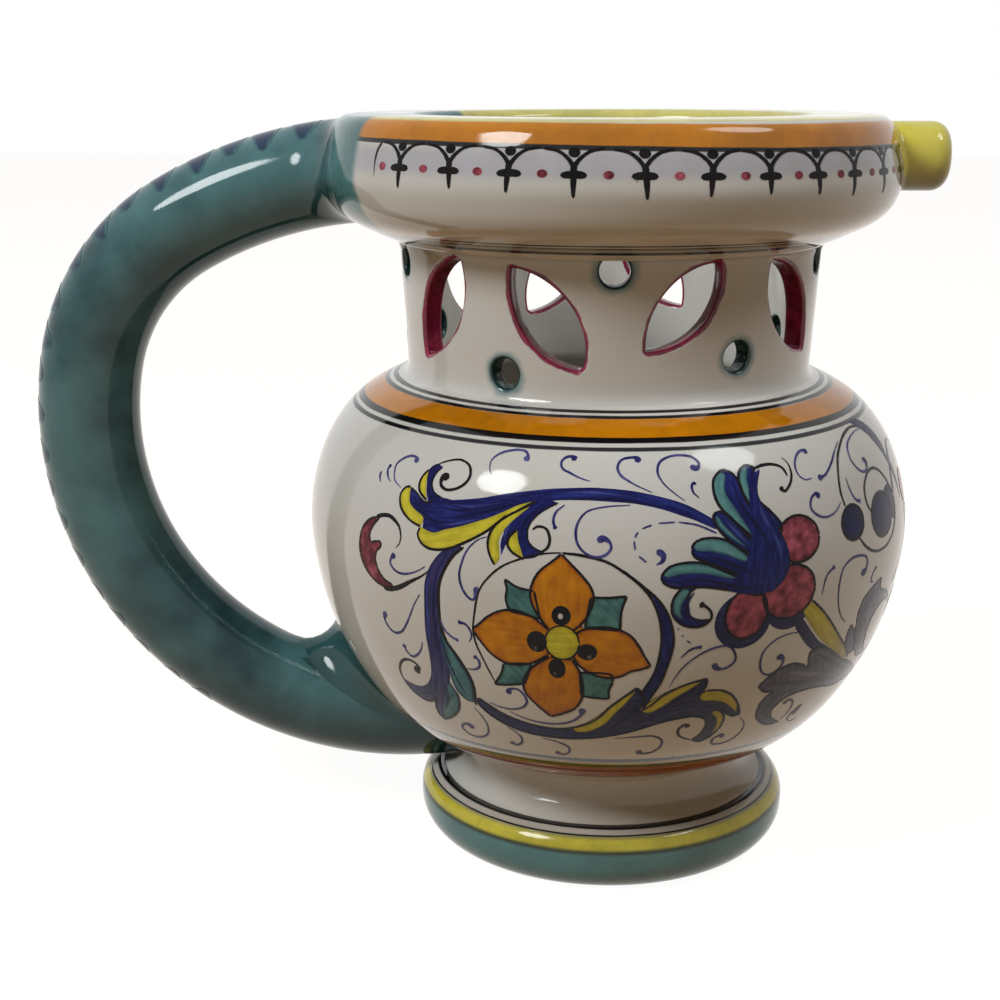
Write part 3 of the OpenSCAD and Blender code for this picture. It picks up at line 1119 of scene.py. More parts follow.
@dataclass
class Handle:
    """The hollow handle, with the blends at its two roots."""

    form: Form
    shapes: Shapes
    columns: int = 72
    rows: int = 190
    top_ball_r: float = 6.0
    top_side_ball_r: float = 11.0
    low_ball_r: float = 7.5
    under_ball_r: float = 1.6
    blend_steps: int = 9
    bore_rows: int = 90
    bore_start: float = 2.0

    def __post_init__(self) -> None:
        """Work out the centre line and both blends."""
        form = self.form
        self.line = HandleLine(form)
        self.tube_r = form.handle_r - form.paint_room
        around = np.radians(np.arange(self.columns) * 360 / self.columns)
        inner_side = (1 + np.cos(around)) / 2
        low_ball = self.under_ball_r + (self.low_ball_r - self.under_ball_r) * inner_side
        top_ball = self.top_ball_r + (self.top_side_ball_r - self.top_ball_r) * np.sin(around) ** 2
        middle = self.line.length / 2
        skin, belly, end = self.shapes.skin, self.shapes.belly_bare, self.line.length
        self.top_blend = Blend(self.line, skin, self.tube_r, top_ball, middle, 0.0)
        self.low_blend = Blend(self.line, belly, self.tube_r, low_ball, middle, end)

    def build(self) -> bpy.types.Object:
        """Build the tube with its upper blend and its bore.

        Returns:
            The handle.
        """
        builder, columns = Builder(), self.columns
        around = self.top_blend.around
        shares = np.linspace(0, 1, self.rows)
        # lift is how far the surface faces up; the handle's glaze paints shade where it is low.
        for share in shares:
            run = self.low_blend.contact + share * (self.top_blend.contact - self.low_blend.contact)
            places, out = self.line.place(run, around, np.full(columns, self.tube_r))
            builder.add(places, out, lift=out[:, 2], to_root=self.line.length - run)
        places, ways = self.top_blend.rows(self.blend_steps)
        for spots, way in zip(places[1:], ways[1:]):
            builder.add(spots, way, lift=way[:, 2], to_root=np.full(columns, self.line.length))
        builder.grid(0, self.rows + self.blend_steps, columns, closed=True)
        first = builder.count
        still = np.zeros(len(self.line.run))
        depth, _ = self.shapes.skin.near(self.line.place(self.line.run, still, still)[0])
        hollow = self.line.run[depth > -self.bore_start]
        # The bore gets the lowest lift, so the handle's glaze paints it fully in shade.
        for run in np.linspace(hollow[0], hollow[-1], self.bore_rows):
            places, out = self.line.place(
                np.full(columns, run), around, np.full(columns, self.form.handle_bore_r))
            builder.add(places, -out, lift=np.full(columns, -1.0))
        builder.grid(first, self.bore_rows, columns, closed=True)
        ring = np.arange(columns)
        builder.join(first - columns + ring, first + ring)
        builder.join(builder.count - columns + ring, ring)
        return builder.build("handle_glaze")

    def build_root(self) -> bpy.types.Object:
        """Build the coil of clay around the handle's lower root."""
        return self.low_blend.coil("handle_root_glaze", 10, flip=True)


@dataclass
class Spout:
    """The drinking spout and the blend around its root."""

    form: Form
    shapes: Shapes
    columns: int = 60
    ball_r: float = 1.3
    bore_edge_r: float = 0.5

    def __post_init__(self) -> None:
        """Work out the spout's line and the blend around its root."""
        form = self.form
        self.line = SpoutLine(form)
        self.tip = form.rim_r + form.spout_reach
        ball = np.full(self.columns, self.ball_r)
        self.blend = Blend(self.line, self.shapes.skin, form.spout_r, ball, self.tip, form.neck_top_r)

    def build(self) -> bpy.types.Object:
        """Build the spout with its rounded tip and its bore.

        Returns:
            The spout.
        """
        form, columns = self.form, self.columns
        around = self.blend.around
        tip = arc((self.tip - form.spout_tip_r, form.spout_r - form.spout_tip_r), form.spout_tip_r, 90, 0, 10)
        edge_r = self.bore_edge_r
        edge_steps = np.radians(np.linspace(0, 90, 6))
        edge = np.column_stack([
            self.tip - edge_r + edge_r * np.cos(edge_steps),
            form.spout_bore_r + edge_r - edge_r * np.sin(edge_steps),
        ])
        tip = tip[tip[:, 1] > edge[0, 1] + 0.05]
        bore = resampled(np.array([edge[-1], [form.rim_r - form.rim_wall - 1, form.spout_bore_r]]), 1.5)[1:]
        line = Outline(np.vstack([tip, edge, bore]))
        builder = Builder()
        straight_end = tip[0, 0]
        # lift is how far the surface faces up; the spout's glaze paints shade where it is low.
        for share in np.linspace(0, 1, 6)[:-1]:
            run = self.blend.contact + share * (straight_end - self.blend.contact)
            places, out = self.line.place(run, around, np.full(columns, form.spout_r))
            builder.add(places, out, lift=out[:, 2])
        for (run, radius), (slope, way) in zip(line.points, -line.normals):
            places, out = self.line.place(np.full(columns, run), around, np.full(columns, radius))
            builder.add(places, way * out + slope * np.array([1.0, 0, 0]), lift=out[:, 2] * way)
        rows = 5 + len(line.points)
        builder.grid(0, rows, columns, closed=True, looped=True)
        builder.faces = [face[::-1] for face in builder.faces]
        return builder.build("spout_glaze")

    def build_root(self) -> bpy.types.Object:
        """Build the coil of clay around the spout's root."""
        return self.blend.coil("spout_root_glaze", 6, flip=False)


class Graph:
    """A shader node tree wired by short calls. Every call returns the socket that it makes."""

    def __init__(self, tree: bpy.types.NodeTree) -> None:
        """Keep the tree."""
        self.tree = tree

    def add(self, kind: str, **settings: object) -> bpy.types.Node:
        """Add a node with some of its settings."""
        node = self.tree.nodes.new(kind)
        for name, value in settings.items():
            setattr(node, name, value)
        return node

    def feed(self, socket: bpy.types.NodeSocket, source: object) -> None:
        """Wire a source to a socket, or set the socket's own value."""
        if isinstance(source, bpy.types.NodeSocket):
            self.tree.links.new(source, socket)
        elif isinstance(source, tuple) and len(source) == 3 and socket.type == "RGBA":
            socket.default_value = (*source, 1.0)
        else:
            socket.default_value = source

    def math(self, operation: str, *values: object, clamp: bool = False) -> bpy.types.NodeSocket:
        """Do one sum."""
        node = self.add("ShaderNodeMath", operation=operation, use_clamp=clamp)
        for socket, value in zip(node.inputs, values):
            self.feed(socket, value)
        return node.outputs[0]

    def plus(self, first: object, second: object, clamp: bool = False) -> bpy.types.NodeSocket:
        """Add two values."""
        return self.math("ADD", first, second, clamp=clamp)

    def minus(self, first: object, second: object) -> bpy.types.NodeSocket:
        """Take the second value from the first."""
        return self.math("SUBTRACT", first, second)

    def times(self, first: object, second: object) -> bpy.types.NodeSocket:
        """Multiply two values."""
        return self.math("MULTIPLY", first, second)

    def fall(self, value: object, low: object, high: object) -> bpy.types.NodeSocket:
        """Fall smoothly from 1 to 0 between two values."""
        return self.minus(1.0, self.step(value, low, high))

    def seen(self) -> bpy.types.NodeSocket:
        """Give 1 to rays from the camera, a mirror image or clear glass, and 0 to others."""
        rays = self.add("ShaderNodeLightPath").outputs
        indirect = self.plus(rays["Is Glossy Ray"], rays["Is Transmission Ray"])
        return self.plus(rays["Is Camera Ray"], indirect, clamp=True)

    def step(self, value: object, low: object, high: object) -> bpy.types.NodeSocket:
        """Rise smoothly from 0 to 1 between two values."""
        node = self.add("ShaderNodeMapRange", interpolation_type="SMOOTHSTEP")
        self.feed(node.inputs["Value"], value)
        self.feed(node.inputs["From Min"], low)
        self.feed(node.inputs["From Max"], high)
        return node.outputs["Result"]

    def between(self, value: object, low: object, high: object) -> bpy.types.NodeSocket:
        """Spread 0 to 1 over a range."""
        node = self.add("ShaderNodeMapRange")
        self.feed(node.inputs["Value"], value)
        self.feed(node.inputs["To Min"], low)
        self.feed(node.inputs["To Max"], high)
        return node.outputs["Result"]

    def mix(self, share: object, first: object, second: object, blend: str = "MIX") -> bpy.types.NodeSocket:
        """Mix two colours."""
        node = self.add("ShaderNodeMix", data_type="RGBA", blend_type=blend)
        self.feed(node.inputs[0], share)
        self.feed(node.inputs[6], first)
        self.feed(node.inputs[7], second)
        return node.outputs[2]

    def noise(
        self, vector: object, scale: object, detail: float = 2.0, seed: object = 0.0,
    ) -> bpy.types.NodeSocket:
        """Give cloudy noise around 0.5."""
        node = self.add("ShaderNodeTexNoise", noise_dimensions="4D")
        self.feed(node.inputs["Vector"], vector)
        self.feed(node.inputs["Scale"], scale)
        self.feed(node.inputs["W"], seed)
        node.inputs["Detail"].default_value = detail
        return node.outputs["Fac"]

    def value(self, name: str) -> bpy.types.NodeSocket:
        """Read a mesh's named value."""
        return self.add("ShaderNodeAttribute", attribute_name=name).outputs["Fac"]

    def combine(self, x: object, y: object, z: object) -> bpy.types.NodeSocket:
        """Join three values into a vector."""
        node = self.add("ShaderNodeCombineXYZ")
        for socket, value in zip(node.inputs, (x, y, z)):
            self.feed(socket, value)
        return node.outputs[0]

    def place(self, group: bpy.types.NodeTree, **values: object) -> bpy.types.NodeSocket:
        """Place a node group, with its inputs named as its sockets are, and give its first output."""
        node = self.add("ShaderNodeGroup", node_tree=group)
        for name, value in values.items():
            self.feed(node.inputs[name.replace("_", " ").capitalize()], value)
        return node.outputs[0]


class Group:
    """A node group in the making, with named inputs and one output."""

    def __init__(self, name: str, inputs: dict[str, str], output: str, kind: str) -> None:
        """Make the group's sockets.

        Args:
            name: The group's name.
            inputs: The kind of each named input.
            output: The output's name.
            kind: The output's kind.
        """
        self.tree = bpy.data.node_groups.new(name, "ShaderNodeTree")
        for label, socket in inputs.items():
            self.tree.interface.new_socket(label, in_out="INPUT", socket_type=f"NodeSocket{socket}")
        self.tree.interface.new_socket(output, in_out="OUTPUT", socket_type=f"NodeSocket{kind}")
        self.graph = Graph(self.tree)
        self.given = self.graph.add("NodeGroupInput").outputs
        self.result = self.graph.add("NodeGroupOutput").inputs[output]

    def finish(self, source: bpy.types.NodeSocket) -> bpy.types.NodeTree:
        """Wire the group's output and give the finished group."""
        self.graph.feed(self.result, source)
        return self.tree


RELIEF_STRENGTH = 0.35
RELIEF_DEPTH = 0.0003
SKIN_SHARE = 0.06
GLAZE_ROUGHNESS = (0.05, 0.13)


class Effects:
    """The shader groups that the materials share."""

    def __init__(self) -> None:
        """Build every group once."""
        self.clouds = self.make_clouds()
        self.ring = self.make_ring()
        self.relief = self.make_relief()
        self.gloss = self.make_gloss()
        self.wash = self.make_wash()
        self.specks = self.make_specks()

    def make_clouds(self) -> bpy.types.NodeTree:
        """Build the group that lets a glaze drift between two colours."""
        group = Group("glaze_clouds", {
            "Place": "Vector", "Main": "Color", "Drift": "Color", "Size": "Float", "Amount": "Float",
            "Seed": "Float"}, "Colour", "Color")
        graph, given = group.graph, group.given
        broad = graph.noise(given["Place"], given["Size"], 3.0, given["Seed"])
        fine = graph.noise(given["Place"], graph.times(given["Size"], 5.0), 4.0, given["Seed"])
        blend = graph.plus(graph.times(broad, 0.7), graph.times(fine, 0.3))
        share = graph.times(graph.step(blend, 0.38, 0.66), given["Amount"])
        return group.finish(graph.mix(share, given["Main"], given["Drift"]))

    def make_ring(self) -> bpy.types.NodeTree:
        """Build the group that masks a ring painted by hand on the turning wheel."""
        group = Group("painted_ring", {
            "Place": "Vector", "Run": "Float", "Centre": "Float", "Half": "Float", "Waver": "Float",
            "Soft": "Float", "Tilt": "Float", "Seed": "Float"}, "Mask", "Float")
        graph, given = group.graph, group.given
        sides = graph.add("ShaderNodeSeparateXYZ")
        graph.feed(sides.inputs[0], given["Place"])
        lean = graph.times(graph.math("DIVIDE", sides.outputs[0], MM), given["Tilt"])
        slow = graph.minus(graph.noise(given["Place"], 18.0, 1.0, given["Seed"]), 0.5)
        quick = graph.minus(graph.noise(given["Place"], 160.0, 3.0, given["Seed"]), 0.5)
        sway = graph.times(graph.plus(slow, graph.times(quick, 0.35)), given["Waver"])
        shifted = graph.plus(graph.plus(given["Run"], lean), sway)
        gap = graph.math("ABSOLUTE", graph.minus(shifted, given["Centre"]))
        press = graph.noise(given["Place"], 70.0, 2.0, graph.plus(given["Seed"], 5.0))
        give = graph.times(graph.math("MINIMUM", given["Half"], 0.5), graph.between(press, -0.3, 0.3))
        half = graph.plus(given["Half"], give)
        inner = graph.minus(half, given["Soft"])
        outer = graph.plus(half, given["Soft"])
        return group.finish(graph.fall(gap, inner, outer))

    def make_relief(self) -> bpy.types.NodeTree:
        """Build the group for the height of the glaze: soft throwing waves and a fine orange-peel skin."""
        group = Group("glaze_relief", {"Place": "Vector"}, "Height", "Float")
        graph, place = group.graph, group.given["Place"]
        skin = graph.times(graph.noise(place, 900.0, 2.0), SKIN_SHARE)
        return group.finish(graph.plus(graph.noise(place, 55.0, 1.0), skin))

    def make_gloss(self) -> bpy.types.NodeTree:
        """Build the group that lets the gloss vary a little."""
        group = Group("glaze_gloss", {"Place": "Vector"}, "Roughness", "Float")
        graph = group.graph
        spread = graph.step(graph.noise(group.given["Place"], 60.0, 4.0, 3.0), 0.35, 0.7)
        return group.finish(graph.between(spread, *GLAZE_ROUGHNESS))

    def make_wash(self) -> bpy.types.NodeTree:
        """Build the group for a brush mark: streaks along it, pooled pigment and an edge that feathers out."""
        group = Group("brush_wash", {
            "Along": "Float", "Across": "Float", "Edge": "Float", "Tone": "Float", "Light": "Color",
            "Dark": "Color", "Ground": "Color", "Streaks": "Float", "Mottle": "Float", "Pool": "Float",
            "Sheer": "Float", "Feather": "Float"}, "Colour", "Color")
        graph, given = group.graph, group.given
        lane = graph.combine(graph.times(given["Along"], 0.16), graph.times(given["Across"], 1.3), 0.0)
        streak = graph.noise(lane, 1.0, 4.0, graph.times(given["Tone"], 40.0))
        patch = graph.noise(graph.combine(
            graph.times(given["Along"], 0.45), graph.times(given["Across"], 0.45), 0.0),
            1.0, 3.0, graph.times(given["Tone"], 90.0))
        swing = graph.plus(
            graph.times(graph.minus(streak, 0.5), given["Streaks"]),
            graph.times(graph.minus(patch, 0.5), given["Mottle"]))
        pooled = graph.times(graph.fall(given["Edge"], 0.0, 0.9), given["Pool"])
        level = graph.plus(graph.plus(given["Tone"], swing), pooled, clamp=True)
        colour = graph.mix(level, given["Light"], given["Dark"])
        grain = graph.plus(graph.times(streak, 0.6), graph.times(patch, 0.4))
        thin = graph.times(graph.step(grain, 0.46, 0.72), given["Sheer"])
        worn = graph.mix(thin, colour, given["Ground"])
        ragged = graph.plus(given["Edge"], graph.times(graph.minus(streak, 0.5), given["Feather"]))
        cover = graph.step(ragged, graph.times(given["Feather"], -0.15), given["Feather"])
        return group.finish(graph.mix(cover, given["Ground"], worn))

    def make_specks(self) -> bpy.types.NodeTree:
        """Build the group that masks the few iron specks and pinholes of a tin glaze."""
        group = Group("iron_specks", {"Place": "Vector", "Amount": "Float"}, "Mask", "Float")
        graph, given = group.graph, group.given
        cells = graph.add("ShaderNodeTexVoronoi", feature="F1", distance="EUCLIDEAN")
        graph.feed(cells.inputs["Vector"], given["Place"])
        cells.inputs["Scale"].default_value = 240.0
        dot = graph.fall(cells.outputs["Distance"], 0.05, 0.12)
        pick = graph.add("ShaderNodeSeparateColor")
        graph.feed(pick.inputs[0], cells.outputs["Color"])
        chosen = graph.math("GREATER_THAN", pick.outputs[0], 0.985)
        return group.finish(graph.times(graph.times(dot, chosen), given["Amount"]))


WHITE = paint_tone(228, 225, 220)
WARM = paint_tone(220, 212, 200)
TEAL = paint_tone(96, 146, 148)
TEAL_LIGHT = paint_tone(88, 138, 142)
TEAL_BLUE = paint_tone(18, 62, 70)
TEAL_DEEP = paint_tone(56, 106, 108)
TEAL_DARK = paint_tone(30, 66, 70)
GREEN_DARK = paint_tone(22, 56, 48)
YELLOW = paint_tone(228, 214, 62)
YELLOW_PALE = paint_tone(236, 226, 130)
ORANGE = paint_tone(222, 138, 10)
ORANGE_DEEP = paint_tone(182, 104, 24)
INK = paint_tone(14, 14, 18)
SLATE = paint_tone(30, 56, 58)
LAVENDER = paint_tone(176, 178, 204)
OLIVE = paint_tone(140, 142, 116)
OLIVE_DARK = paint_tone(58, 72, 44)
OLIVE_YELLOW = paint_tone(150, 142, 30)
MAGENTA = paint_tone(168, 44, 82)
MAGENTA_DEEP = paint_tone(104, 16, 44)
BISQUE_GREY = paint_tone(150, 132, 112)
IRON = paint_tone(110, 88, 66)


def new_material(name: str) -> tuple[bpy.types.Material, Graph, bpy.types.Node]:
    """Start a material, and give it with its graph and its shader node."""
    material = bpy.data.materials.new(name)
    material.use_nodes = True
    return material, Graph(material.node_tree), material.node_tree.nodes["Principled BSDF"]


def fired_material(
    name: str, effects: Effects, shine: float,
) -> tuple[bpy.types.Material, Graph, bpy.types.NodeSocket, bpy.types.Node]:
    """Start a glossy material with the relief of a fired glaze.

    Args:
        name: The material's name.
        effects: The shared shader groups.
        shine: How much it mirrors.

    Returns:
        The material, its graph, the place coordinates and the shader node.
    """
    material, graph, shader = new_material(name)
    place = graph.add("ShaderNodeTexCoord").outputs["Object"]
    shader.inputs["Specular IOR Level"].default_value = shine
    bump = graph.add("ShaderNodeBump")
    bump.inputs["Strength"].default_value = RELIEF_STRENGTH
    bump.inputs["Distance"].default_value = RELIEF_DEPTH
    graph.feed(bump.inputs["Height"], graph.place(effects.relief, place=place))
    graph.feed(shader.inputs["Normal"], bump.outputs["Normal"])
    return material, graph, place, shader


@dataclass(frozen=True)
class Ring:
    """A ring painted on the wheel, by its run along the outline."""

    centre: float
    width: float
    colour: Colour
    soft: float = 0.12
    waver: float = 0.35
    cover: float = 1.0
    tilt: float = 0.0


def line_at(skin: Outline, height: float, width: float, colour: Colour, **more: float) -> Ring:
    """Give the ring whose middle lies at a height."""
    return Ring(skin.run_at(height), width, colour, **more)


def band(skin: Outline, low: float, high: float, colour: Colour, **more: float) -> Ring:
    """Give the ring that reaches from one height to another."""
    start, end = skin.run_at(low), skin.run_at(high)
    return Ring((start + end) / 2, end - start, colour, **more)


@dataclass(frozen=True)
class Wash:
    """A second colour that covers a glaze where one of the mesh's named values lies under a limit. It is a
    pigment, except on the value lift, where it is painted shade on undersides.
    """

    value: str
    limit: float
    main: Colour
    drift: Colour
    soft: float
    waver: float = 0.0
    grain: float = 90.0
    cloud_size: float = 90.0
    cover: float = 1.0


@dataclass(frozen=True)
class Glaze:
    """A glossy fired glaze over a painted ground."""

    name: str
    main: Colour = WHITE
    drift: Colour = WARM
    cloud_size: float = 22.0
    cloud_amount: float = 0.55
    rings: tuple[Ring, ...] = ()
    washes: tuple[Wash, ...] = ()
    specks: float = 0.55
    shine: float = 0.3

    def ground(self, effects: Effects, graph: Graph, place: bpy.types.NodeSocket) -> bpy.types.NodeSocket:
        """Give the glaze's colour with its clouds, rings, washes and specks. A wash on the value lift is
        painted shade.

        Args:
            effects: The shared shader groups.
            graph: The material's graph.
            place: The place coordinates.

        Returns:
            The colour.
        """
        colour = graph.place(
            effects.clouds, place=place, main=self.main, drift=self.drift,
            size=self.cloud_size, amount=self.cloud_amount)
        if self.rings:
            run = graph.value("run")
            for seed, ring in enumerate(self.rings):
                mask = graph.place(
                    effects.ring, place=place, run=run, centre=ring.centre, half=ring.width / 2,
                    waver=ring.waver, soft=ring.soft, tilt=ring.tilt, seed=seed * 3.7)
                tinted = graph.place(
                    effects.clouds, place=place, main=ring.colour, drift=tuple(c * 0.72 for c in ring.colour),
                    size=120.0, amount=0.8, seed=seed * 1.9)
                colour = graph.mix(graph.times(mask, ring.cover), colour, tinted)
        for seed, wash in enumerate(self.washes):
            sway = graph.times(graph.minus(graph.noise(place, wash.grain, 3.0, seed * 2.3), 0.5), wash.waver)
            level = graph.plus(graph.value(wash.value), sway)
            mask = graph.fall(level, wash.limit - wash.soft, wash.limit + wash.soft)
            tinted = graph.place(
                effects.clouds, place=place, main=wash.main, drift=wash.drift, size=wash.cloud_size,
                amount=0.9, seed=seed * 4.1)
            colour = graph.mix(graph.times(mask, wash.cover), colour, tinted)
        if self.specks:
            mask = graph.place(effects.specks, place=place, amount=self.specks)
            colour = graph.mix(mask, colour, IRON)
        return colour

    def material(self, effects: Effects) -> bpy.types.Material:
        """Make the whole material."""
        material, graph, place, shader = fired_material(self.name, effects, self.shine)
        graph.feed(shader.inputs["Roughness"], graph.place(effects.gloss, place=place))
        graph.feed(shader.inputs["Base Color"], self.ground(effects, graph, place))
        return material


class Part(Enum):
    """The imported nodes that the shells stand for, by their names in the frame."""

    FOOT = "foot"
    BELLY = "belly"
    NECK = "neck"
    MOUTH_RING = "mouth_ring"
    RIM_SHELL = "rim_shell"
    RIM_CAP = "rim_cap"
    HANDLE = "handle"
    HANDLE_ROOT_COIL = "handle_root_coil"
    SPOUT = "spout"
    SPOUT_COIL = "spout_coil"


class Slot(Enum):
    """The record's material slots."""

    WHITE = "white_glaze"
    TEAL = "teal_glaze"
    YELLOW = "yellow_glaze"
    OCHRE = "ochre_glaze"


def seat(
    piece: bpy.types.Object, material: bpy.types.Material, part: Optional[Part] = None,
) -> None:
    """Give a piece its material and its body, and let it stand for a node.

    Args:
        piece: The piece.
        material: Its material.
        part: The node that it stands for, if any.
    """
    piece.data.materials.append(material)
    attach(piece, BODY)
    if part is not None:
        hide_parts(part.value)
    LOG.info("%s: %d points, %d faces", piece.name, len(piece.data.vertices), len(piece.data.polygons))


class Layer(Enum):
    """How far each kind of brushwork stands off the glaze."""

    GROUND = 0.022
    WASH = 0.03
    SHADE = 0.042
    TINT = 0.051
    LINE = 0.06
    DOT = 0.07
    TOP = 0.08
    GLINT = 0.09


class Touch(Enum):
    """How the brush is pressed: shares of a stroke's width at shares of its length."""

    EVEN = ((0, 1.0), (1, 1.0))
    LINE = ((0, 0.75), (0.12, 1.0), (0.88, 1.0), (1, 0.6))
    HOOK = ((0, 2.6), (0.045, 2.7), (0.11, 1.1), (0.55, 0.95), (1, 0.35))
    SWELL = ((0, 0.15), (0.25, 0.7), (0.5, 1.0), (0.75, 0.7), (1, 0.15))
    TAIL = ((0, 1.0), (0.4, 0.85), (1, 0.12))
    COMMA = ((0, 1.0), (0.3, 1.0), (0.7, 0.55), (1, 0.15))
    BAR = ((0, 0.5), (0.2, 0.9), (0.5, 1.0), (0.8, 0.9), (1, 0.5))
    ARCH = ((0, 1.3), (0.5, 0.9), (1, 0.7))
    PRONG = ((0, 1.0), (0.6, 0.8), (1, 0.35))
    LEAF = ((0, 0.55), (0.12, 0.95), (0.4, 1.0), (0.75, 0.65), (1, 0.12))
    DAB = ((0, 0.3), (0.12, 0.6), (0.3, 0.9), (0.5, 1.0), (0.7, 0.9), (0.88, 0.6), (1, 0.3))


class LatheWall:
    """The jug's turned outside as a wall to paint on, laid flat as turns and runs."""

    flipped = False

    def __init__(self, skin: Outline) -> None:
        """Keep the outline."""
        self.skin = skin

    def flat(self, spots: np.ndarray) -> np.ndarray:
        """Turn heights into runs."""
        return np.column_stack([spots[:, 0], np.interp(spots[:, 1], self.skin.points[:, 1], self.skin.run)])

    def scale(self, run: np.ndarray) -> np.ndarray:
        """Give the millimetres in a degree at each run."""
        return np.interp(run, self.skin.run, self.skin.points[:, 0]) * math.radians(1)

    def place(self, flat: np.ndarray, lift: float) -> tuple[np.ndarray, np.ndarray]:
        """Give places lifted off the wall, and the outward directions.

        Args:
            flat: Turns and runs, one pair a row.
            lift: Distance off the wall.

        Returns:
            The places and the directions.
        """
        skin, angle = self.skin, np.radians(flat[:, 0])
        radius, height, out, up = (
            np.interp(flat[:, 1], skin.run, column)
            for column in (skin.points[:, 0], skin.points[:, 1], skin.normals[:, 0], skin.normals[:, 1])
        )
        around = np.column_stack([np.sin(angle), -np.cos(angle)])
        normals = np.column_stack([around * out[:, None], up])
        return np.column_stack([around * radius[:, None], height]) + lift * normals, normals


class TubeWall:
    """The handle's outside as a wall to paint on, by angle around it and run along it."""

    flipped = True

    def __init__(self, line: HandleLine, radius: float) -> None:
        """Keep the line and the radius."""
        self.line = line
        self.radius = radius

    def flat(self, spots: np.ndarray) -> np.ndarray:
        """Give the spots as they are, because they are flat already."""
        return spots

    def scale(self, run: np.ndarray) -> np.ndarray:
        """Give the millimetres in a degree."""
        return np.full(np.shape(run), self.radius * math.radians(1))

    def place(self, flat: np.ndarray, lift: float) -> tuple[np.ndarray, np.ndarray]:
        """Give places lifted off the tube, and the outward directions."""
        return self.line.place(flat[:, 1], flat[:, 0], np.full(len(flat), self.radius + lift))


@dataclass(frozen=True)
class Pigment:
    """A brushed pigment: its thin and its thick colour, and how it lies on the glaze."""

    name: str
    light: Colour
    dark: Colour
    ground: Colour = WHITE
    streaks: float = 1.3
    mottle: float = 0.6
    pool: float = 0.35
    sheer: float = 0.2
    feather: float = 0.1
    roughness: float = 0.09
    shine: float = 0.12

    def material(self, effects: Effects) -> bpy.types.Material:
        """Make the pigment's material."""
        material, graph, place, shader = fired_material(self.name, effects, self.shine)
        shader.inputs["Roughness"].default_value = self.roughness
        if self.feather:
            marks = {name: graph.value(name) for name in ("along", "across", "edge", "tone")}
            colour = graph.place(
                effects.wash, light=self.light, dark=self.dark, ground=self.ground, streaks=self.streaks,
                mottle=self.mottle, pool=self.pool, sheer=self.sheer, feather=self.feather, **marks)
        else:
            colour = graph.place(
                effects.clouds, place=place, main=self.dark, drift=self.light, size=260.0, amount=self.sheer)
        graph.feed(shader.inputs["Base Color"], colour)
        return material


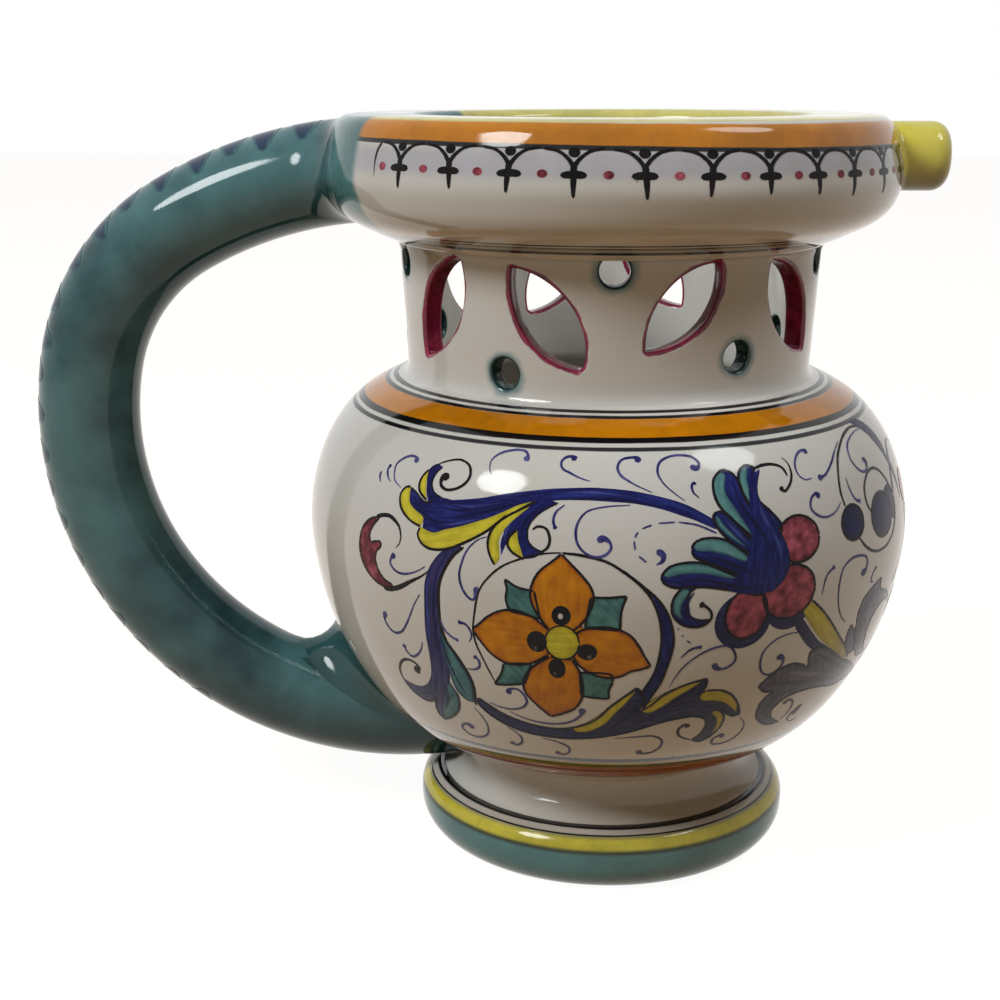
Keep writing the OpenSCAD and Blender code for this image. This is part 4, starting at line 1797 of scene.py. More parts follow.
class PaintCoat:
    """All the brushwork of one pigment on one wall, gathered into one thin mesh."""

    step = 0.3
    wide = 0.9
    fill_spacing = 0.5

    def __init__(self, name: str, wall: LatheWall | TubeWall, pigment: Pigment, mirrored: bool = False) -> None:
        """Start an empty coat.

        Args:
            name: The piece's name.
            wall: The wall that it lies on.
            pigment: Its pigment.
            mirrored: Whether everything is painted again on the jug's back.
        """
        self.name = name
        self.wall = wall
        self.pigment = pigment
        self.mirrored = mirrored
        self.builder = Builder()

    def copies(self, points: Points) -> list[np.ndarray]:
        """Give the points, and again on the back if the coat is mirrored."""
        given = np.asarray(points, dtype=float)
        return [given, given * (-1, 1) + (180, 0)] if self.mirrored else [given]

    def stroke(
        self, points: Points, width: float, touch: Touch = Touch.LINE, tone: float = 0.5,
        layer: Layer = Layer.LINE,
    ) -> None:
        """Paint one stroke.

        Args:
            points: The spots that the brush passes.
            width: The brush's full width.
            touch: How the brush is pressed.
            tone: How thick the pigment lies, from 0 to 1.
            layer: How far it stands off the glaze.
        """
        for copy in self.copies(points):
            flat = self.wall.flat(smooth_curve(copy, 8))
            scale = self.wall.scale(flat[:, 1])
            steps = np.diff(flat, axis=0) * np.column_stack([scale[1:], np.ones(len(flat) - 1)])
            run = np.concatenate([[0.0], np.cumsum(np.hypot(steps[:, 0], steps[:, 1]))])
            count = max(5, int(run[-1] / self.step) + 1)
            at = np.linspace(0, run[-1], count)
            centre = np.column_stack([np.interp(at, run, flat[:, 0]), np.interp(at, run, flat[:, 1])])
            scale = self.wall.scale(centre[:, 1])
            way = np.gradient(centre, at, axis=0) * np.column_stack([scale, np.ones(count)])
            way /= np.linalg.norm(way, axis=1)[:, None]
            side = np.column_stack([-way[:, 1] / scale, way[:, 0]])
            shares, presses = np.transpose(touch.value)
            phase = copy[0, 0] * 1.7 + copy[0, 1]
            sway = min(0.1, 0.03 / width)
            waver = 1 + sway * np.sin(at * 0.9 + phase) + sway / 2 * np.sin(at * 4.3 + phase * 2)
            half = width / 2 * np.interp(at / run[-1], shares, presses) * waver
            for gap, end in ((at, half[0]), (run[-1] - at, half[-1])):
                half = half * np.sqrt(np.clip(1 - np.clip(1 - gap / max(end, 0.05), 0, 1) ** 2, 0.003, 1))
            columns = 3 if width < self.wide else 7
            first = self.builder.count
            for offset in np.linspace(-1, 1, columns):
                across = offset * half
                places, normals = self.wall.place(centre + side * across[:, None], layer.value)
                self.builder.add(
                    places, normals, along=at + phase, across=across, edge=half * (1 - abs(offset)),
                    tone=np.full(count, tone))
            self.builder.grid(first, columns, count)

    def patch(self, edges: Sequence[Points], tone: float = 0.5, layer: Layer = Layer.WASH) -> None:
        """Fill a shape.

        Args:
            edges: Its edges in order around it, each a smooth run that meets the next at a tip.
            tone: How thick the pigment lies.
            layer: How far it stands off the glaze.
        """
        for index in range(2 if self.mirrored else 1):
            loop = np.vstack([smooth_curve(self.copies(edge)[index], 6)[:-1] for edge in edges])
            flat = self.wall.flat(loop)
            middle = flat.mean(axis=0)
            size = np.array([float(self.wall.scale(middle[1])), 1.0])
            local = resampled(np.vstack([(flat - middle) * size, (flat[:1] - middle) * size]), 0.45)[:-1]
            spare = lattice(local.min(axis=0), local.max(axis=0), self.fill_spacing)
            spare = spare[is_inside(local, spare)]
            spare = spare[loop_distance(local, spare) > self.fill_spacing / 2]
            points, triangles, _ = meshed([local], spare)
            triangles = triangles[is_inside(local, points[triangles].mean(axis=1))]
            axis = local[len(local) // 2] - local[0]
            axis /= np.linalg.norm(axis)
            places, normals = self.wall.place(points / size + middle, layer.value)
            first = self.builder.add(
                places, normals, along=points @ axis + middle[0], across=points @ (-axis[1], axis[0]),
                edge=loop_distance(local, points), tone=np.full(len(points), tone))
            self.builder.faces.extend(tuple(face) for face in triangles + first)

    def outline(self, edges: Sequence[Points], width: float, tone: float = 0.8) -> None:
        """Draw a line along each edge of a shape."""
        for edge in edges:
            self.stroke(edge, width, Touch.EVEN, tone)

    def build(self, effects: Effects) -> None:
        """Make the coat's mesh, ride it on the jug and give it its pigment."""
        if self.builder.count:
            if self.wall.flipped:
                self.builder.faces = [face[::-1] for face in self.builder.faces]
            seat(self.builder.build(self.name), self.pigment.material(effects))


def oval(turn: float, height: float, turn_r: float, height_r: float, tilt: float = 0.0) -> Points:
    """Give a closed oval as one edge, with its first spot repeated at the end."""
    angles = np.radians(np.linspace(0, 360, 13))
    tilt_at = math.radians(tilt)
    return [
        (turn + turn_r * math.cos(a + tilt_at), height + height_r * math.sin(a - tilt_at)) for a in angles
    ]


INK_PAINT = Pigment("ink_lines", *paint_tones((58, 46, 44), (8, 7, 10)), sheer=0.3, feather=0.0)
HOOK_PAINT = Pigment("violet_lines", *paint_tones((112, 112, 178), (32, 30, 104)), sheer=0.7, feather=0.0)
COBALT_PAINT = Pigment(
    "cobalt_wash", *paint_tones((50, 64, 160), (8, 10, 84), (56, 66, 150)),
    streaks=2.2, pool=0.15, sheer=0.1, feather=0.06)
VIOLET_PAINT = Pigment(
    "violet_wash", *paint_tones((92, 88, 150), (24, 20, 76), (96, 92, 140)),
    streaks=2.0, pool=0.2, sheer=0.15, feather=0.06)
TEAL_PAINT = Pigment(
    "teal_wash", *paint_tones((104, 158, 154), (20, 74, 80), (110, 152, 150)),
    mottle=1.6, pool=0.3, sheer=0.15, feather=0.06)
TEAL_ON_BLUE = Pigment(
    "teal_over_blue", *paint_tones((116, 172, 168), (24, 84, 96), (18, 34, 92)),
    streaks=1.4, pool=0.2, sheer=0.15, feather=0.55)
YELLOW_PAINT = Pigment(
    "yellow_wash", *paint_tones((236, 222, 64), (150, 138, 16), (190, 178, 50)),
    mottle=0.9, pool=0.3, sheer=0.1, feather=0.06)
ORANGE_PAINT = Pigment(
    "orange_wash", *paint_tones((240, 158, 4), (168, 84, 0), (206, 120, 6)),
    streaks=0.7, mottle=1.4, pool=0.5, sheer=0.0, feather=0.05)
MAGENTA_PAINT = Pigment(
    "magenta_wash", *paint_tones((222, 112, 132), (96, 4, 30), (224, 150, 160)),
    streaks=0.6, mottle=2.6, pool=0.2, sheer=0.12, feather=0.05)
NAVY_PAINT = Pigment(
    "navy_wash", *paint_tones((30, 34, 130), (2, 2, 34), (60, 60, 120)), mottle=1.2, sheer=0.05)
MAUVE_PAINT = Pigment(
    "mauve_wash", *paint_tones((138, 132, 160), (50, 44, 84), (140, 134, 154)),
    streaks=1.8, mottle=1.2, feather=0.06)
MAUVE_STREAK = Pigment(
    "mauve_streaks", *paint_tones((150, 146, 178), (30, 24, 60), (86, 78, 112)), feather=0.5)
STREAK_PAINT = Pigment("blue_streaks", *paint_tones((84, 98, 190), (3, 4, 44), (24, 28, 104)), feather=0.4)
YELLOW_ON_BLUE = Pigment(
    "yellow_over_blue", *paint_tones((236, 222, 60), (150, 142, 22), (56, 64, 60)), feather=0.3, pool=0.2)
DAB_PAINT = Pigment(
    "handle_dab", *paint_tones((70, 96, 122), (26, 36, 72), (84, 132, 136)), feather=0.9, sheer=0.3)
DOT_PAINT = Pigment("white_dots", WHITE, WARM, paint_tone(60, 60, 66), feather=0.12, sheer=0.0)

RING_THIN = (
    (-7, 71.8), (-10, 71.5), (-14.8, 70), (-17.4, 68.6), (-19.6, 66.5), (-21.1, 64.2), (-22.1, 60.1),
    (-22.6, 57), (-22.3, 54.5), (-21.1, 51.3), (-19.6, 47.5),
)
RING_TOP = ((-7, 71.8), (-3.5, 71.5), (0.4, 70.6), (3.5, 68.8), (6.1, 66.7), (8.3, 64.6))
RING_CRESCENT = (
    ((3.0, 69.3), (6.1, 66.9), (8.8, 64.5), (10.5, 62), (11.6, 59), (11.9, 56.5), (11.6, 54), (11, 51.4),
     (10.2, 48.8), (8.9, 46.2), (7.6, 43.6)),
    ((3.0, 69.3), (5.6, 67.1), (7.7, 64.6), (9, 61.8), (9.6, 59.1), (9.8, 56.5), (9.6, 54), (9, 51.1),
     (7.9, 48.6), (6.6, 46.4)),
    ((6.6, 46.4), (7.6, 43.6)),
)
PETALS = (
    (((-7, 71.6), (-5.3, 70), (-3.5, 68.2), (-2.1, 66.4), (-1.6, 64.9), (-1.9, 63), (-3.2, 60.4), (-5, 58.6)),
     ((-5, 58.6), (-9, 58.6)),
     ((-9, 58.6), (-10.3, 60.4), (-11.6, 62.6), (-12.1, 64.6), (-11.7, 66.6), (-10.6, 68.6), (-8.7, 70.2),
      (-7, 71.6))),
    (((-22.8, 57.1), (-21.3, 58.3), (-19.6, 59.9), (-17, 61.3), (-14.2, 61.5), (-11.6, 60.6), (-9, 58.6)),
     ((-9, 58.6), (-9.2, 54)),
     ((-9.2, 54), (-11.8, 52.3), (-14.6, 51.5), (-17.3, 51.7), (-19.6, 53), (-21.3, 55), (-22.8, 57.1))),
    (((8.3, 52.3), (7.2, 54), (6.1, 56), (4.5, 58.1), (2, 59.3), (-0.9, 59.5), (-3.4, 58.9), (-5, 57.8)),
     ((-5, 57.8), (-5, 54)),
     ((-5, 54), (-4.2, 52.6), (-2.5, 51.1), (0.4, 50.1), (3, 50.3), (4.9, 51.3), (6.6, 51.7), (8.3, 52.3))),
    (((-9.6, 41.3), (-7, 42.3), (-4.8, 43.6), (-3.5, 46), (-3.4, 48.8), (-4, 51.3), (-5.2, 53.4)),
     ((-5.2, 53.4), (-9, 53.6)),
     ((-9, 53.6), (-11, 52.3), (-13, 50.4), (-14.1, 48), (-13.8, 45.8), (-11.8, 43.4), (-9.6, 41.3))),
)
FLOWER_HEART = (-6.8, 56.4, 2.9, 3.1)
FLOWER_BASE = (-6.8, 56.4, 4.6, 4.9)
SEEDS = ((-6.9, 61.3, 1.6, 1.75), (-11.1, 56.3, 1.75, 1.95), (-2.6, 54.9, 1.7, 1.5), (-7.8, 51.5, 1.5, 1.9))
SEED_DOTS = ((-7, 61.2, 0.5, 0.6), (-11.4, 54.9, 0.35, 0.5), (-2.2, 54.1, 0.4, 0.45), (-8.2, 50.5, 0.25, 0.35))
FLOWER_LEAVES = (
    (((-16.5, 66.8), (-14.4, 65.7), (-11.4, 65.2)), ((-11.4, 65.2), (-10.4, 60.4)),
     ((-10.4, 60.4), (-13, 61), (-15.8, 61.4)), ((-15.8, 61.4), (-16.3, 63.6), (-16.1, 65.2), (-16.5, 66.8))),
    (((-2, 64.7), (1, 64.7), (3.8, 65)), ((3.8, 65), (3, 62.5), (2.8, 59)), ((2.8, 59), (-3, 59.3)),
     ((-3, 59.3), (-2, 64.7))),
    (((-17.4, 51.4), (-18, 49.5), (-19.7, 46.9)), ((-19.7, 46.9), (-17, 47.2), (-13.8, 47.8)),
     ((-13.8, 47.8), (-12.2, 52)), ((-12.2, 52), (-17.4, 51.4))),
    (((-3.7, 46.3), (-1.4, 45.9), (1.3, 45.8)), ((1.3, 45.8), (1.2, 47.4), (1.9, 49.3)),
     ((1.9, 49.3), (1.6, 50.6), (-3.8, 51)), ((-3.8, 51), (-3.7, 46.3))),
)
MAIN_STEM = (
    (-34.4, 76.3), (-31, 77.1), (-27, 77.5), (-22.6, 78.2), (-17.3, 79.4), (-12, 80.3), (-6, 80.9), (0, 81),
    (6, 80.4), (11, 79.3), (15, 77.9), (19.6, 75.6),
)
MAIN_STEM_WIDTH = 2.0
ACANTHUS_BLUES = (
    (((-37.5, 79.1), (-36, 78.6), (-34.6, 77.8), (-33, 77.2), (-31.6, 77.8)),
     ((-31.6, 77.8), (-29.6, 78.4), (-27, 78.3), (-23.5, 78.8), (-20, 79), (-17.4, 79.5), (-14.3, 80.6),
      (-11, 81.2)),
     ((-11, 81.2), (-11, 79.2)),
     ((-11, 79.2), (-14.8, 78.4), (-17.4, 77.2), (-20, 76), (-22.6, 75), (-25.3, 74), (-28.3, 73),
      (-30.5, 72.2), (-33, 72.2)),
     ((-33, 72.2), (-33.1, 74.4), (-35.3, 75.4), (-37, 76.6), (-37.5, 79.1))),
    (((-31.6, 83), (-32.6, 81.9), (-32.9, 80.4), (-32, 79.1), (-29.4, 78.2)),
     ((-29.4, 78.2), (-32.4, 77)),
     ((-32.4, 77), (-33.5, 78.7), (-34, 80.1), (-34.5, 82.2), (-33.2, 83.3), (-31.6, 83))),
    (((-8, 79.5), (-10, 78.5), (-11.7, 77.3), (-12.8, 75.8), (-13, 74.4), (-12.6, 73.1), (-11.3, 72.1),
      (-10, 71.7)),
     ((-10, 71.7), (-11.6, 70.7), (-13.4, 70.4)),
     ((-13.4, 70.4), (-13.9, 71.9), (-14.6, 73.4), (-14.9, 75)),
     ((-14.9, 75), (-16.3, 73), (-17.3, 70.6)),
     ((-17.3, 70.6), (-17.5, 73), (-16.4, 75.4), (-14, 77.8), (-11, 79.9), (-8, 79.5))),
)
ACANTHUS_YELLOWS = (
    (((-33.4, 73.2), (-33.8, 72), (-33, 70.8), (-31.6, 70.1), (-29.6, 70), (-27, 70.6), (-24.4, 71.8),
      (-22.2, 73), (-20, 74.4), (-17.4, 76.5), (-14.8, 78), (-11.8, 79.6)),
     ((-11.8, 79.6), (-14.8, 78.8), (-17.4, 77.6), (-20, 76.4), (-22.6, 75.4), (-25.3, 74.4), (-28.3, 73.5),
      (-30.5, 72.7), (-33.4, 73.2))),
    (((-17, 77), (-19, 75), (-19.8, 73.1), (-19.7, 71.5), (-19, 69.9), (-18.3, 68.9)),
     ((-18.3, 68.9), (-17.6, 70), (-17.7, 71.5), (-17.9, 72.9), (-17.2, 74.6), (-15.8, 76.2), (-13, 78.6)),
     ((-13, 78.6), (-17, 77))),
    (((-14.8, 75), (-16.1, 73.6), (-16.3, 72.5), (-15.5, 71.4), (-13.3, 70.3)),
     ((-13.3, 70.3), (-13.9, 71.8), (-14.5, 73.3), (-14.8, 75))),
    (((-37.4, 79.2), (-38.6, 78.9), (-39.4, 77.6), (-38.7, 75.8), (-37.1, 74.5), (-35.3, 73.7), (-33.4, 73.3)),
     ((-33.4, 73.3), (-33, 74.7), (-35.3, 75.8), (-36.8, 76.8), (-37.4, 79.2))),
    (((-34.5, 82.3), (-35.5, 80.9), (-35.6, 79.7), (-35, 78.7), (-33, 77.5)),
     ((-33, 77.5), (-33.7, 78.9), (-34.2, 80.4), (-34.5, 82.3))),
)
BLUE_STREAKS = (
    (0.9, ((-30.6, 75.2), (-27, 75.6), (-22, 76.9), (-17, 78.4), (-11, 80.2))),
    (0.9, ((-30.8, 76.9), (-26, 76.9), (-20, 78.2), (-14, 79.7))),
    (0.8, ((-36.6, 78.2), (-34, 76), (-31, 74.6), (-26, 75))),
    (0.1, ((-29.6, 74), (-26, 74.8), (-21, 76.2))), (0.1, ((-28, 77.6), (-23, 77.8), (-17.6, 79))),
    (0.9, ((-33.4, 82), (-33.6, 80), (-32, 78), (-29, 77.4))), (0.1, ((-15.4, 77), (-16.6, 75), (-17, 72.6))),
    (0.9, ((-9.4, 79.4), (-12, 77.8), (-13.8, 75.8), (-13.8, 73.6), (-12.6, 71.8))),
    (0.1, ((-9, 80.9), (-2, 81.2), (5, 80.6))), (0.95, ((-10, 79.9), (-2, 80.3), (6, 79.8), (13, 78.2))),
)
SPIRAL_TOP = (
    (-29.5, 81.5), (-30.7, 81.6), (-31, 80.6), (-29.9, 79.8), (-28.1, 79.9), (-26.1, 80.9), (-25.3, 82.2),
    (-25.9, 83.6), (-28.1, 84.4), (-30.5, 84.1), (-32.7, 83.3), (-34.4, 82.1),
)
SMALL_CURL = ((-12.2, 75.1), (-11.3, 75.7), (-9.8, 75.4), (-9.1, 73.9), (-9.4, 72.5), (-10.8, 71.5))
MAGENTA_LEAF = (
    ((-43.4, 73.2), (-45.8, 72.5), (-47.6, 71), (-48.4, 68.8), (-48.2, 66.2), (-47.2, 64.2), (-45.6, 62.7),
     (-43.4, 61.6), (-40.6, 61.1)),
    ((-40.6, 61.1), (-39.4, 62), (-41.4, 62.7), (-42.9, 64.1), (-43.6, 65.8), (-43.4, 67.2), (-42.3, 68.4),
     (-42.5, 69.2)),
    ((-42.5, 69.2), (-43.9, 68.9), (-45.2, 68.5)),
    ((-45.2, 68.5), (-45.6, 69.8), (-44.9, 71.4), (-43.4, 73.2)),
)
MAGENTA_TAIL = ((-41.8, 61.1), (-40, 61.2), (-37.5, 62.1), (-34.9, 63.6), (-32.3, 65.1), (-30.5, 66.6))
MAGENTA_CURL = (
    (-44.4, 73), (-42.8, 73.6), (-41, 73.8), (-39.7, 73.4), (-38.3, 72.5), (-37.6, 71), (-37.7, 69.8),
    (-38.6, 68.7),
)
LEFT_STEM = (
    ((-25.6, 71.6), (-27.9, 70.4), (-29.8, 68.4), (-31, 66.4), (-31.8, 64), (-32.2, 60), (-32.7, 55),
     (-32.8, 50), (-33.3, 47), (-34.3, 45), (-36.2, 43.2), (-39, 42.4), (-42.5, 42.9)),
    ((-42.5, 42.9), (-41.4, 40.8), (-39.6, 39.7), (-37.4, 39.4), (-35.6, 40), (-34.6, 41)),
    ((-34.6, 41), (-35.9, 38.4), (-36, 36.8), (-35.2, 35.7)),
    ((-35.2, 35.7), (-31, 42), (-28.8, 48), (-28.8, 55)),
    ((-28.8, 55), (-29.1, 60), (-28.8, 64), (-27.6, 67), (-26.2, 69.2), (-24.4, 71), (-25.6, 71.6)),
)
LEFT_STEM_RIGHT = (
    (-24.2, 71.2), (-26.2, 69.4), (-27.8, 66.8), (-28.8, 64), (-29.1, 60), (-29.1, 57), (-28.4, 54), (-27, 52),
    (-25.5, 49.5), (-24.5, 47.2), (-24.3, 45), (-24.9, 41.4),
)
LEFT_STEM_TEALS = (
    (((-29.4, 57), (-28, 53.3), (-26, 50.2), (-24.7, 47.1), (-24.5, 45), (-25, 42)),
     ((-25, 42), (-26.8, 42.2), (-28.4, 44), (-29, 48), (-29.7, 52), (-29.4, 57))),
    (((-28.4, 43.4), (-28.9, 40.6), (-30.1, 38.8), (-32.7, 36.9), (-35.2, 35.7)),
     ((-35.2, 35.7), (-34.2, 38.4), (-32.6, 41), (-31, 43.6), (-29.8, 46)), ((-29.8, 46), (-28.4, 43.4))),
)
LEFT_STREAKS = (
    (0.9, ((-27, 70), (-29, 66.6), (-30, 62), (-30.4, 56), (-30.3, 50), (-31.2, 45))),
    (0.1, ((-30, 68), (-31.2, 64), (-31.6, 59), (-32, 53), (-32.1, 49))),
    (0.9, ((-29.6, 55), (-28.6, 50), (-27.4, 46), (-26, 43))),
    (0.8, ((-30.4, 44), (-31.6, 41), (-33.4, 38.4))), (0.8, ((-41, 42), (-38, 41), (-35, 41.8), (-33, 44.6))),
)
LEFT_SPIRAL = (
    (-37.2, 45.4), (-37, 46.5), (-36.2, 46.6), (-36.9, 47.5), (-38.4, 47.9), (-40.1, 47.5), (-41.7, 46.1),
    (-42.6, 44.4), (-42.2, 42), (-40.4, 40.2), (-38, 39.4),
)
BOTTOM_SCROLL = (
    ((-23.8, 43.3), (-21.8, 42.1), (-19, 40.5), (-15, 39.3), (-10.5, 38.6), (-6.5, 38.9), (-3.1, 40),
     (-0.8, 41.4), (1.4, 43.9), (3.7, 46), (6.2, 48.1)),
    ((6.2, 48.1), (7.4, 46.5), (7.5, 44.8), (6.3, 42.6)),
    ((6.3, 42.6), (8.8, 44.2), (11, 46.3), (14.4, 48.1), (18.8, 49.2)),
    ((18.8, 49.2), (18.7, 47.4), (17.6, 46.1), (19, 46.7)),
    ((19, 46.7), (21.8, 46.4), (24.4, 45.1), (26.4, 42.9), (27.8, 40.3)),
    ((27.8, 40.3), (26.2, 40.2), (24.4, 41.2), (23.2, 42.2)),
    ((23.2, 42.2), (24.4, 40), (24.3, 38), (23, 36), (21, 35), (18.9, 35.5)),
    ((18.9, 35.5), (20.4, 37), (20.9, 38.8), (20.1, 40.4), (17.8, 41.2), (14.4, 41), (10.5, 40.1), (5.9, 38.5),
     (1.4, 37.4), (-3.7, 36.6), (-9.3, 36.4), (-15, 36.9), (-19.5, 38.2), (-22.9, 40.4), (-24.2, 42),
     (-23.8, 43.3)),
)
SCROLL_YELLOWS = (
    ((-5.4, 38.6), (-2.6, 39.4), (-0.2, 41), (2, 43.4), (4.2, 45.6), (6, 47.4)),
    ((7.6, 43), (10, 44.6), (12.4, 46.3), (15, 47.6), (17.6, 48.6)),
    ((18, 45.4), (20.4, 45.6), (23, 44.9), (25, 43.4), (26.6, 41.2)),
    ((21.4, 42), (23.2, 40.6), (23.7, 38.4), (22.8, 36.4)),
)
SCROLL_YELLOW_WIDTHS = (2.3, 2.5, 2.6, 1.3)
SCROLL_STREAKS = (
    (0.95, ((-22, 41.2), (-16, 38.6), (-9, 37.4), (-1, 37.8), (5, 39.6), (10, 42), (15, 44.4), (18.6, 45))),
    (0.95, ((1, 38.6), (4, 41), (6.4, 44.4), (6.4, 46.6))),
    (0.1, ((-19, 39.6), (-12, 38), (-5, 37.6))),
    (0.95, ((9, 41.6), (13, 44.6), (17, 47.4), (18.4, 48.6))),
    (0.1, ((8, 40.4), (13, 42.4), (19, 43), (23, 42))),
    (0.9, ((18, 42.6), (21.4, 41.4), (22.6, 39), (21.8, 36.4))),
)
SCROLL_SPIRAL = ((17.2, 38.8), (16.5, 39.5), (15.3, 38.5), (15.6, 37.2), (17.2, 36.1), (19, 35.6))
PALMETTE = (
    (((21.8, 84.1), (20, 83), (19.4, 81.4), (19.8, 79.3), (21.1, 77.5), (23.3, 75.2), (25.5, 72.8), (28, 70)),
     ((28, 70), (28.6, 74), (27.2, 76.6), (25.9, 78.4), (24.9, 80.4), (24.5, 82.2), (23.5, 83.5),
      (21.8, 84.1))),
    (((26.8, 84.5), (25.1, 83.6), (24.5, 82), (24.9, 80), (26, 77.8), (28, 74), (28.5, 70)),
     ((28.5, 70), (31.6, 74.6), (29.9, 77), (27.8, 79), (26.9, 81), (27.3, 82.6), (28.4, 83.8), (26.8, 84.5))),
    (((19.5, 78), (18.7, 77.3), (19.1, 75.8), (20.7, 73.8), (22.9, 72), (25.5, 70.2), (28, 68.4)),
     ((28, 68.4), (27.6, 71.2), (25.4, 73.6), (22.8, 76), (21, 77.6), (19.5, 78))),
    (((14.5, 72.3), (15, 73.3), (16.7, 73.9), (19.4, 73.8), (21.5, 73), (23.7, 71.6), (26, 70.2), (28.4, 68)),
     ((28.4, 68), (27, 66), (25.4, 66.9), (22.4, 67.9), (19.4, 69.2), (16.7, 70.3), (15, 71.1), (14.5, 72.3))),
    (((9.3, 68.2), (10.6, 69.6), (12.8, 70.2), (15.4, 70.2), (17.6, 69.6), (20.2, 68.4), (22.9, 67.2),
      (26, 66.4)),
     ((26, 66.4), (27.2, 63.9), (24.2, 64.4), (20.7, 65.3), (17.4, 66), (14, 66.2), (11.5, 66.3), (9.8, 67.1),
      (9.3, 68.2))),
    (((12.8, 66.2), (11.5, 64.4), (11.2, 62.6), (11.8, 60.9), (13.7, 59.5), (16.7, 59.3), (18, 60.3)),
     ((18, 60.3), (16, 60.4), (14.4, 61.2), (13.7, 63), (14, 65), (15.4, 66.3)), ((15.4, 66.3), (12.8, 66.2))),
)
PALMETTE_HEART = (
    ((29.4, 83.6), (28, 81.4), (27.7, 79.7), (28.5, 77.7), (30, 75.4), (31.6, 72.6), (32.5, 70), (32.4, 67.7),
     (31.2, 65.7), (29, 64)),
    ((29, 64), (26.4, 64.1), (22.9, 64.6), (20.7, 65.5), (22, 67), (24, 69.4), (25, 72), (25.8, 76), (26, 80),
     (27, 82.6), (29.4, 83.6)),
)
PALMETTE_TEALS = (
    (2.5, ((21.9, 83.6), (20.6, 82.2), (20.5, 80.2), (21.9, 77.9), (24, 75.2), (26.4, 72))),
    (1.7, ((26.7, 84.1), (25.6, 82.6), (25.7, 80.5), (27, 78), (28.6, 75.2))),
    (1.1, ((19.2, 77.4), (20, 75.8), (22, 73.8), (24.6, 71.8))),
    (2.5, ((14.9, 72.6), (17.2, 73), (20, 72.4), (22.6, 71), (25.6, 69.2))),
    (2.0, ((9.8, 68.3), (12.2, 69.2), (15.2, 69.3), (18, 68.7), (21, 67.7), (24, 67))),
    (1.9, ((14, 65.8), (12.5, 64.4), (12.1, 62.4), (13.2, 60.6))),
    (1.8, ((25.8, 67), (27.4, 68.2), (28.8, 68.4))),
)
PALMETTE_STREAKS = (
    (0.95, ((23.6, 82.4), (23.6, 80), (24.8, 77.6), (27, 74.6), (28.8, 71.6), (29.6, 68))),
    (0.1, ((29, 75), (30.6, 71.6), (31, 68))),
    (0.95, ((17, 71.2), (20, 70.2), (23.4, 68.6), (26.8, 66.8))),
    (0.1, ((20.4, 77), (22.6, 74.6), (25.4, 71.8))),
    (0.95, ((12, 67.2), (16, 67.4), (20, 66.4), (25, 65.2), (29, 65.4))),
    (0.1, ((27.6, 79), (28.2, 76.4), (30, 73.6))),
    (0.95, ((15, 65.4), (13.8, 63.6), (14.2, 61.2), (16, 60))),
)
PALMETTE_HOOK = ((28.2, 83.7), (30.3, 84.1), (32.9, 84), (34.6, 83.3), (35.1, 82))
PALMETTE_HOOK_END = ((32.8, 80.7), (33.4, 79.9), (35.2, 80.9), (36.2, 82.4), (36.2, 83.9), (35.2, 84.9))
PALMETTE_CURL = ((15.9, 63.3), (17.2, 62.6), (18.1, 61.4), (18, 60.3), (16.8, 59.4), (14.6, 59.3))
BERRIES = ((34.9, 72.1, 4.7, 3.8), (33, 63.4, 5.5, 4.7), (24.6, 60.6, 4.0, 4.4))
BERRY_SHADOWS = ((24.2, 59.5, 5.4, 5.1), (33.2, 61.2, 5.0, 4.6))
NAVY_BERRIES = ((49.1, 72.6, 3.4, 3.0), (60, 71.9, 4.6, 3.9))
NAVY_LEAVES = (
    (((62, 87.2), (65, 85.6), (68, 83), (70.4, 79)),
     ((70.4, 79), (71.4, 82.6), (70, 85.4), (66.4, 87.2), (62, 87.2))),
    (((62.6, 75.6), (65.2, 76.2), (67, 73.4), (66.4, 69.6)),
     ((66.4, 69.6), (64.6, 70.4), (63.2, 73), (62.6, 75.6))),
)
YELLOW_STEM = (
    ((38.2, 61), (40.7, 59), (43.1, 56.8), (46, 54), (48.4, 51.8), (50.5, 50), (52.9, 48), (54.6, 46.2)),
    ((54.6, 46.2), (51.7, 47), (48.8, 48.6), (45.5, 50.6), (42.6, 52.7), (40.2, 54.8), (38, 57.2), (36.4, 59.6),
     (38.2, 61)),
)
STEM_SHADOW = ((34.6, 58.6), (36.6, 56.4), (38.8, 54), (41.2, 52), (44.6, 50.2), (49, 48))
